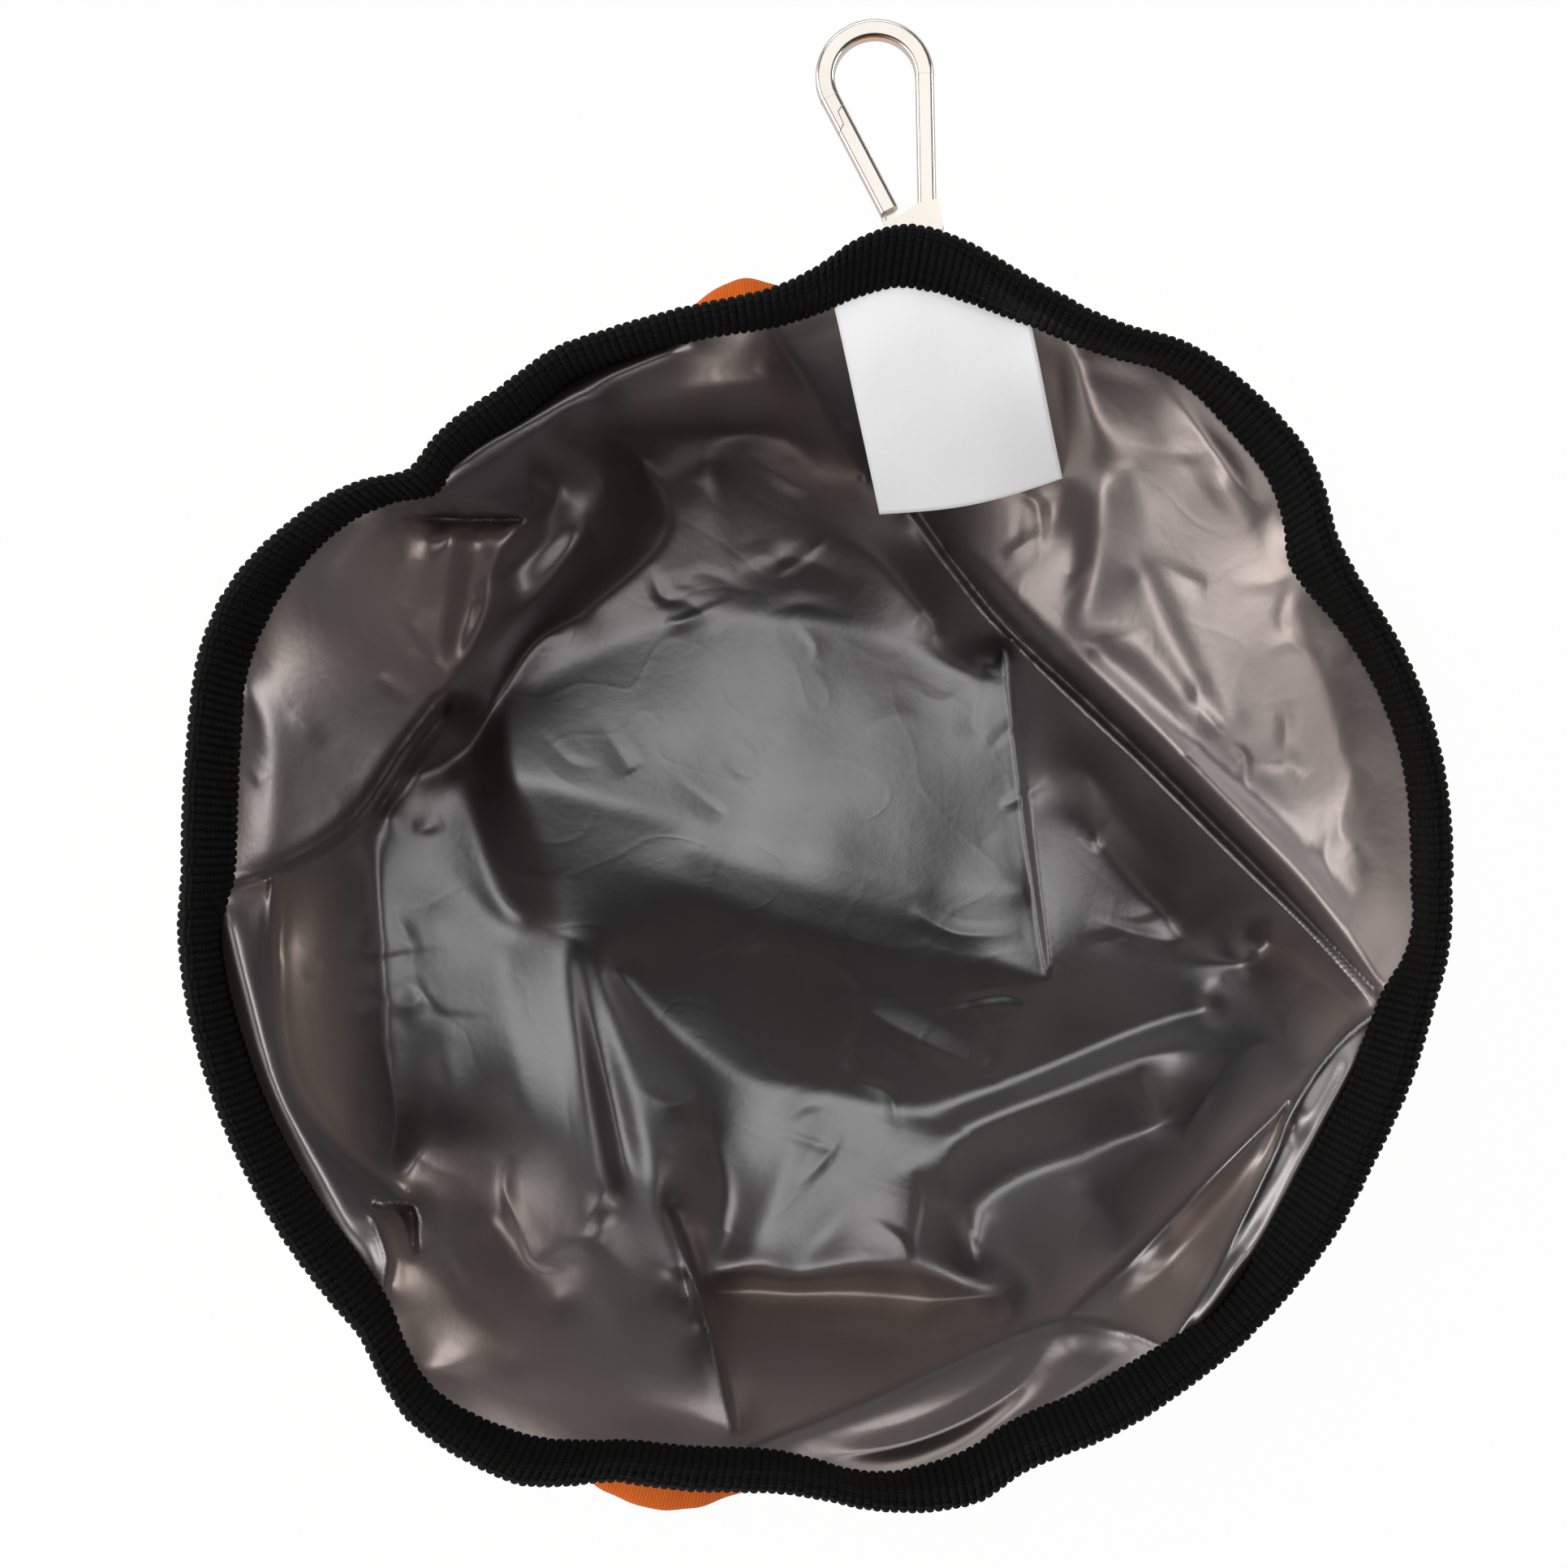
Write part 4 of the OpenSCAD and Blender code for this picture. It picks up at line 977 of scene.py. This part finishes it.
class PETBOWL_OT_tape(bpy.types.Operator):
    """Builds the ribbed edge tape, folded over the mouth"""

    bl_idname = "petbowl.tape"
    bl_label = "Edge Tape"

    def execute(self, context):
        sizes = context.scene.bowl_sizes
        coarse = np.linspace(0, 360, 3001)
        foot, up, _ = tape_frame(coarse)
        length = run_along(spin(foot + up * TAPE_H * 0.8, coarse))
        ribs = round(length[-1] / sizes.rib_pitch)
        rib_points = 8
        along = np.arange(ribs * rib_points) / rib_points
        turn = np.interp(along / ribs * length[-1], length, coarse)
        foot, up, inward = tape_frame(turn)
        line = self.section()
        span = run_along(line)
        rise, painted_rib_shade = self.ribbing(along, span, ribs, sizes.rib_height)
        ahead = np.gradient(line, axis=0)
        ahead /= np.linalg.norm(ahead, axis=1)[:, None]
        out = np.stack([-ahead[:, 1], ahead[:, 0]], -1)
        shape = line[None] + out[None] * rise[..., None]
        flat = foot[:, None] + inward[:, None] * shape[..., :1] + up[:, None] * (shape[..., 1:] + 0.1)
        points = spin(flat, turn[:, None])
        columns, rows = len(turn), len(line)
        u = np.repeat((along * sizes.rib_pitch)[:, None], rows, 1)
        v = np.repeat(span[None], columns, 0)
        faces = grid_faces(columns, rows, closed_rows=True)[:, ::-1]
        finish = tape_finish(context.scene.bowl_looks)
        tape = make_piece("edge_tape", points, faces, finish, np.stack([u, v], -1))
        # Painted shade between the ribs, stored for the finish.
        add_share(tape, "painted_rib_shade", painted_rib_shade)
        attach(tape, "rim")
        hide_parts("rim_binding")
        return {"FINISHED"}

    def section(self):
        """Places across and up: up the outer face, over the fold and down the inner face."""
        # The ribs stand out from this section, so it is thinner and lower than the tape.
        thick, high = TAPE_T - 0.7, TAPE_H - 0.35
        radius, corner = thick * 0.5, 0.6
        turns = np.radians([90, 60, 30])
        foot = [(-thick / 2 + corner * (1 - math.cos(a)), corner * (1 - math.sin(a))) for a in turns]
        face = foot + [(-thick / 2, rise) for rise in np.linspace(corner, high - radius, 33)[:-1]]
        arc = np.radians(np.linspace(180, 0, 29))
        fold = list(zip(radius * np.cos(arc), high - radius + radius * np.sin(arc)))
        return np.array(face + fold + [(-across, rise) for across, rise in face[::-1]])

    def ribbing(self, along, span, ribs, height):
        """How far each point stands out, and a share of painted shade, highest in the valleys between ribs;
        each rib is a cord across the tape, tied into beads by yarns that run along it."""
        rng = np.random.default_rng(4)
        number = np.floor(along).astype(int) % ribs
        rib = np.sqrt(np.clip(1 - (2 * (along - np.floor(along)) - 1) ** 2 * 0.97, 0, 1))[:, None]
        loose = rng.uniform(-1, 1, (ribs, 3))[number]
        ties = np.cumsum(rng.uniform(0.85, 1.6, 60)) - 0.6
        ties = ties[: np.searchsorted(ties, span[-1]) + 1]
        shifted = span[None] + 0.22 * loose[:, :1] + 0.3 * np.sin(along[:, None] / 9)
        gap = np.abs(shifted[..., None] - ties[None, None]).min(-1)
        knot = smooth_step(gap / 0.42) ** 0.6
        # The seams press the tape down at this distance from its edges.
        seam = 2.4
        stitch = sum(np.exp(-((span[None] - place) ** 2) / 0.3) for place in (seam, span[-1] - seam))
        rise = height * rib * (0.55 + 0.45 * knot) + 0.07 * loose[:, 1:2] - 0.3 * stitch
        puff = 0.16 * np.sin(along[:, None] * 0.13 + span[None] * 0.2)
        # The second value is painted shade: 1 in the valleys between ribs and knots.
        return rise + puff, 1 - np.clip(rib * 1.1 - 0.15, 0, 1) * (0.25 + 0.75 * knot)


class PETBOWL_OT_label(bpy.types.Operator):
    """Builds the blank satin label under the tape"""

    bl_idname = "petbowl.label"
    bl_label = "Care Label"

    def execute(self, context):
        rows, columns = 56, 40
        # Half the label's width, its free length, and the share of that length which runs up inside the tape.
        half, length, tucked = 18.6, 55.5, 0.08
        t, s = np.linspace(-tucked, 1, rows)[:, None], np.linspace(-1, 1, columns)[None]
        down, back = np.clip(t, 0, 1), np.clip(-t / tucked, 0, 1)
        heading, slope = math.radians(-78.5), math.radians(43)
        flat_way = np.array([math.cos(heading), math.sin(heading), 0])
        along = flat_way * math.cos(slope) - np.array([0, 0, math.sin(slope)])
        across = np.array([math.sin(heading), -math.cos(heading), 0])
        face = np.cross(along, across)
        left, right = 88.4, 69.0
        turn = np.linspace(left, right, columns)
        foot, up, inward = tape_frame(turn)
        # It runs down inside the tape's inner leg and comes out at the tape's foot.
        leg = foot + inward * (TAPE_T / 2 - 1.1)
        seam, mouth = spin(leg + up * 4.5, turn), spin(leg - up * 0.4, turn)
        low = seam[columns // 2][None] + along * length - across * s.T * half
        points = mouth + (low - mouth) * down[..., None] + (seam - mouth) * back[..., None]
        # Held stiff by the seam it stands off the film at first, then it sags.
        wave = 1.7 * np.sin(np.pi * down) - 2.2 * np.sin(np.pi * np.sqrt(down)) + 2.2 * down * down * s * s
        wave = wave + 0.35 * np.sin(3.1 * s + 5 * down) * down + 0.25 * np.sin(9 * down + 2 * s) * down
        points = points + face * wave[..., None]
        s, t = np.broadcast_arrays(s, t)
        finish = glowing_satin_finish(context.scene.bowl_looks)
        uv = np.stack([s * 19, t * 55], -1)
        label = make_piece("care_label", points, grid_faces(rows, columns), finish, uv)
        # The cut edges are a little darker.
        side, end = np.clip((np.abs(s) - 0.97) / 0.03, 0, 1), np.clip((t - 0.985) / 0.015, 0, 1)
        add_share(label, "edge", np.maximum(side, end))
        thicken(label, 0.00025)
        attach(label, "rim")
        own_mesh(label)
        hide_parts("care_label")
        return {"FINISHED"}


class PETBOWL_OT_clip(bpy.types.Operator):
    """Builds the webbing tab and plates the clip"""

    bl_idname = "petbowl.clip"
    bl_label = "Snap Hook and Tab"

    def execute(self, context):
        looks = context.scene.bowl_looks
        plate = metal_finish("nickel_plate", tuple(looks.nickel), 0.16)
        steel = metal_finish("spring_steel", (0.55, 0.55, 0.56), 0.25)
        plated, springy = ("swivel_eye", "hook_body", "hook_gate"), ("gate_pin", "gate_spring")
        for node in plated + springy:
            mesh = frame["nodes"][node].data
            mesh.materials.clear()
            mesh.materials.append(plate if node in plated else steel)
        co = node_points("hook_tab")
        ends = co[co[:, 2] > co[:, 2].max() - 1.5].mean(0)
        heading = math.radians(103.7)
        out = np.array([math.cos(heading), math.sin(heading), 0])
        bar = np.array([-math.sin(heading), math.cos(heading), 0])
        above = np.array([0, 0, 1])
        joint = next(j for j in frame["joints"] if j["name"] == "eye_swing")
        eye = np.array(joint["pos_m"]) / MM
        # The webbing goes round the eye's bar and closes above it.
        bar_radius, half_thick, half_wide = 1.4, 0.55, 4.9
        arc = np.radians(np.linspace(55, -235, 29))[:, None]
        loop = eye + (bar_radius + half_thick) * (np.cos(arc) * out + np.sin(arc) * above)
        rise = np.linspace(0, 1, 8)[1:, None]
        first = loop[0] * (1 - rise) + (ends + out * half_thick + 3 * above) * rise
        last = loop[-1] * (1 - rise) + (ends - out * half_thick + 3 * above) * rise
        path = np.concatenate([first[::-1], loop, last])
        wide = np.linspace(-half_wide, half_wide, 15)
        points = path[:, None] + bar * wide[None, :, None]
        span = run_along(path)
        uv = np.stack(np.broadcast_arrays(wide[None], span[:, None]), -1)
        faces = grid_faces(len(path), len(wide))
        webbing = make_piece("webbing_tab", points, faces, webbing_finish(), uv)
        thicken(webbing, 0.0010, offset=0.0)
        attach(webbing, "rim")
        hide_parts("hook_tab")
        return {"FINISHED"}


class PETBOWL_OT_stage(bpy.types.Operator):
    """Sets the camera, the floor and the soft studio light"""

    bl_idname = "petbowl.stage"
    bl_label = "Studio"

    def execute(self, context):
        scene = context.scene
        eye = bpy.data.cameras.new("camera")
        eye.lens, eye.sensor_width = LENS_MM, SENSOR_MM
        camera = bpy.data.objects.new("camera", eye)
        camera.location = CAMERA_MM * MM
        scene.collection.objects.link(camera)
        scene.camera = camera
        far, low = 900, -0.3
        corners = [(-far, -far, low), (far, -far, low), (far, far, low), (-far, far, low)]
        floor = make_piece("floor", corners, [(0, 1, 2, 3)], self.floor_finish())
        for name, place, size, power, tint in (
            ("left_box", (-1.15, 0.12, 0.45), (1.2, 0.7), 8, (1, 0.99, 0.98)),
            ("right_box", (1.15, 0.25, 0.38), (1.0, 0.5), 6, (1, 0.98, 0.96)),
            ("far_box", (-0.2, 1.2, 0.42), (1.1, 0.4), 4, (1, 1, 1)),
            ("near_box", (-0.25, -1.2, 0.3), (1.0, 0.4), 3.5, (0.98, 0.99, 1)),
        ):
            lamp = bpy.data.lights.new(name, "AREA")
            lamp.shape = "RECTANGLE"
            lamp.size, lamp.size_y = size
            lamp.energy = power
            lamp.color = tint
            box = bpy.data.objects.new(name, lamp)
            box.location = place
            box.rotation_mode = "QUATERNION"
            box.rotation_quaternion = (Vector(place) - Vector((0, 0, 0.03))).to_track_quat("Z", "Y")
            scene.collection.objects.link(box)
        self.sky(scene)
        scene.view_settings.view_transform = "Standard"
        return {"FINISHED"}

    def floor_finish(self):
        """A floor that the camera sees nearly white, whatever falls on it."""
        f = Finish("pale_floor", Base_Color=(0.86, 0.86, 0.86), Roughness=0.9, Specular_IOR_Level=0.1)
        seen = f.node("ShaderNodeLightPath", output="Is Camera Ray")
        glow = f.node("ShaderNodeEmission", {}, {"Color": (1, 1, 1, 1), "Strength": 1.0})
        matt = Number(f, f.shader.outputs[0])
        mixed = f.node("ShaderNodeMixShader", {}, {0: seen * 0.97, 1: matt, 2: glow})
        f.tree.links.new(mixed.socket, f.tree.nodes["Material Output"].inputs["Surface"])
        return f.material

    def sky(self, scene):
        """A white background for the camera, and a room with soft lights for all else."""
        world = bpy.data.worlds.new("studio")
        world.use_nodes = True
        scene.world = world
        f = Finish.__new__(Finish)
        f.tree = world.node_tree
        f.tree.nodes.clear()
        way = f.node("ShaderNodeTexCoord", output="Generated")
        height = f.node("ShaderNodeSeparateXYZ", {}, {0: way}, output=2)
        above, near = (
            f.node("ShaderNodeVectorMath", {"operation": "DOT_PRODUCT"}, {0: way, 1: middle}, output=1)
            for middle in ((-0.12, 0.33, 0.936), (-0.75, -0.66, 0))
        )
        low = 1.2 * near.between(-0.1, 0.95) * (1 - height.between(0.3, 0.55))
        room = low + 0.21 - 0.18 * height.between(0.1, 0.6) + 1.35 * above.between(0.78, 0.99)
        seen = f.node("ShaderNodeLightPath", output="Is Camera Ray")
        white = seen.most(f.node("ShaderNodeLightPath", output="Is Transmission Ray"))
        strength = room * (1 - white) + white
        light = f.node("ShaderNodeBackground", {}, {"Color": (1, 1, 1, 1), "Strength": strength})
        out = f.tree.nodes.new("ShaderNodeOutputWorld")
        f.tree.links.new(light.socket, out.inputs["Surface"])


class PETBOWL_PT_panel(bpy.types.Panel):
    """Lists the bowl's pieces and sizes"""

    bl_idname = "PETBOWL_PT_panel"
    bl_label = "Pet Bowl"
    bl_space_type = "VIEW_3D"
    bl_region_type = "UI"
    bl_category = "Pet Bowl"

    def draw(self, context):
        for kind in OPERATORS:
            self.layout.operator(kind.bl_idname)
        for group in (context.scene.bowl_sizes, context.scene.bowl_looks):
            for name in type(group).__annotations__:
                self.layout.prop(group, name)


OPERATORS = (
    PETBOWL_OT_stage, PETBOWL_OT_cloth, PETBOWL_OT_lining, PETBOWL_OT_tape, PETBOWL_OT_label, PETBOWL_OT_clip
)
CLASSES = (BowlLooks, BowlSizes, *OPERATORS, PETBOWL_PT_panel)


def register():
    for kind in CLASSES:
        bpy.utils.register_class(kind)
    bpy.types.Scene.bowl_looks = bpy.props.PointerProperty(type=BowlLooks)
    bpy.types.Scene.bowl_sizes = bpy.props.PointerProperty(type=BowlSizes)


def unregister():
    del bpy.types.Scene.bowl_looks, bpy.types.Scene.bowl_sizes
    for kind in reversed(CLASSES):
        bpy.utils.unregister_class(kind)


def main():
    register()
    for step in ("stage", "cloth", "lining", "tape", "label", "clip"):
        getattr(bpy.ops.petbowl, step)()


if __name__ == "__main__":
    main()
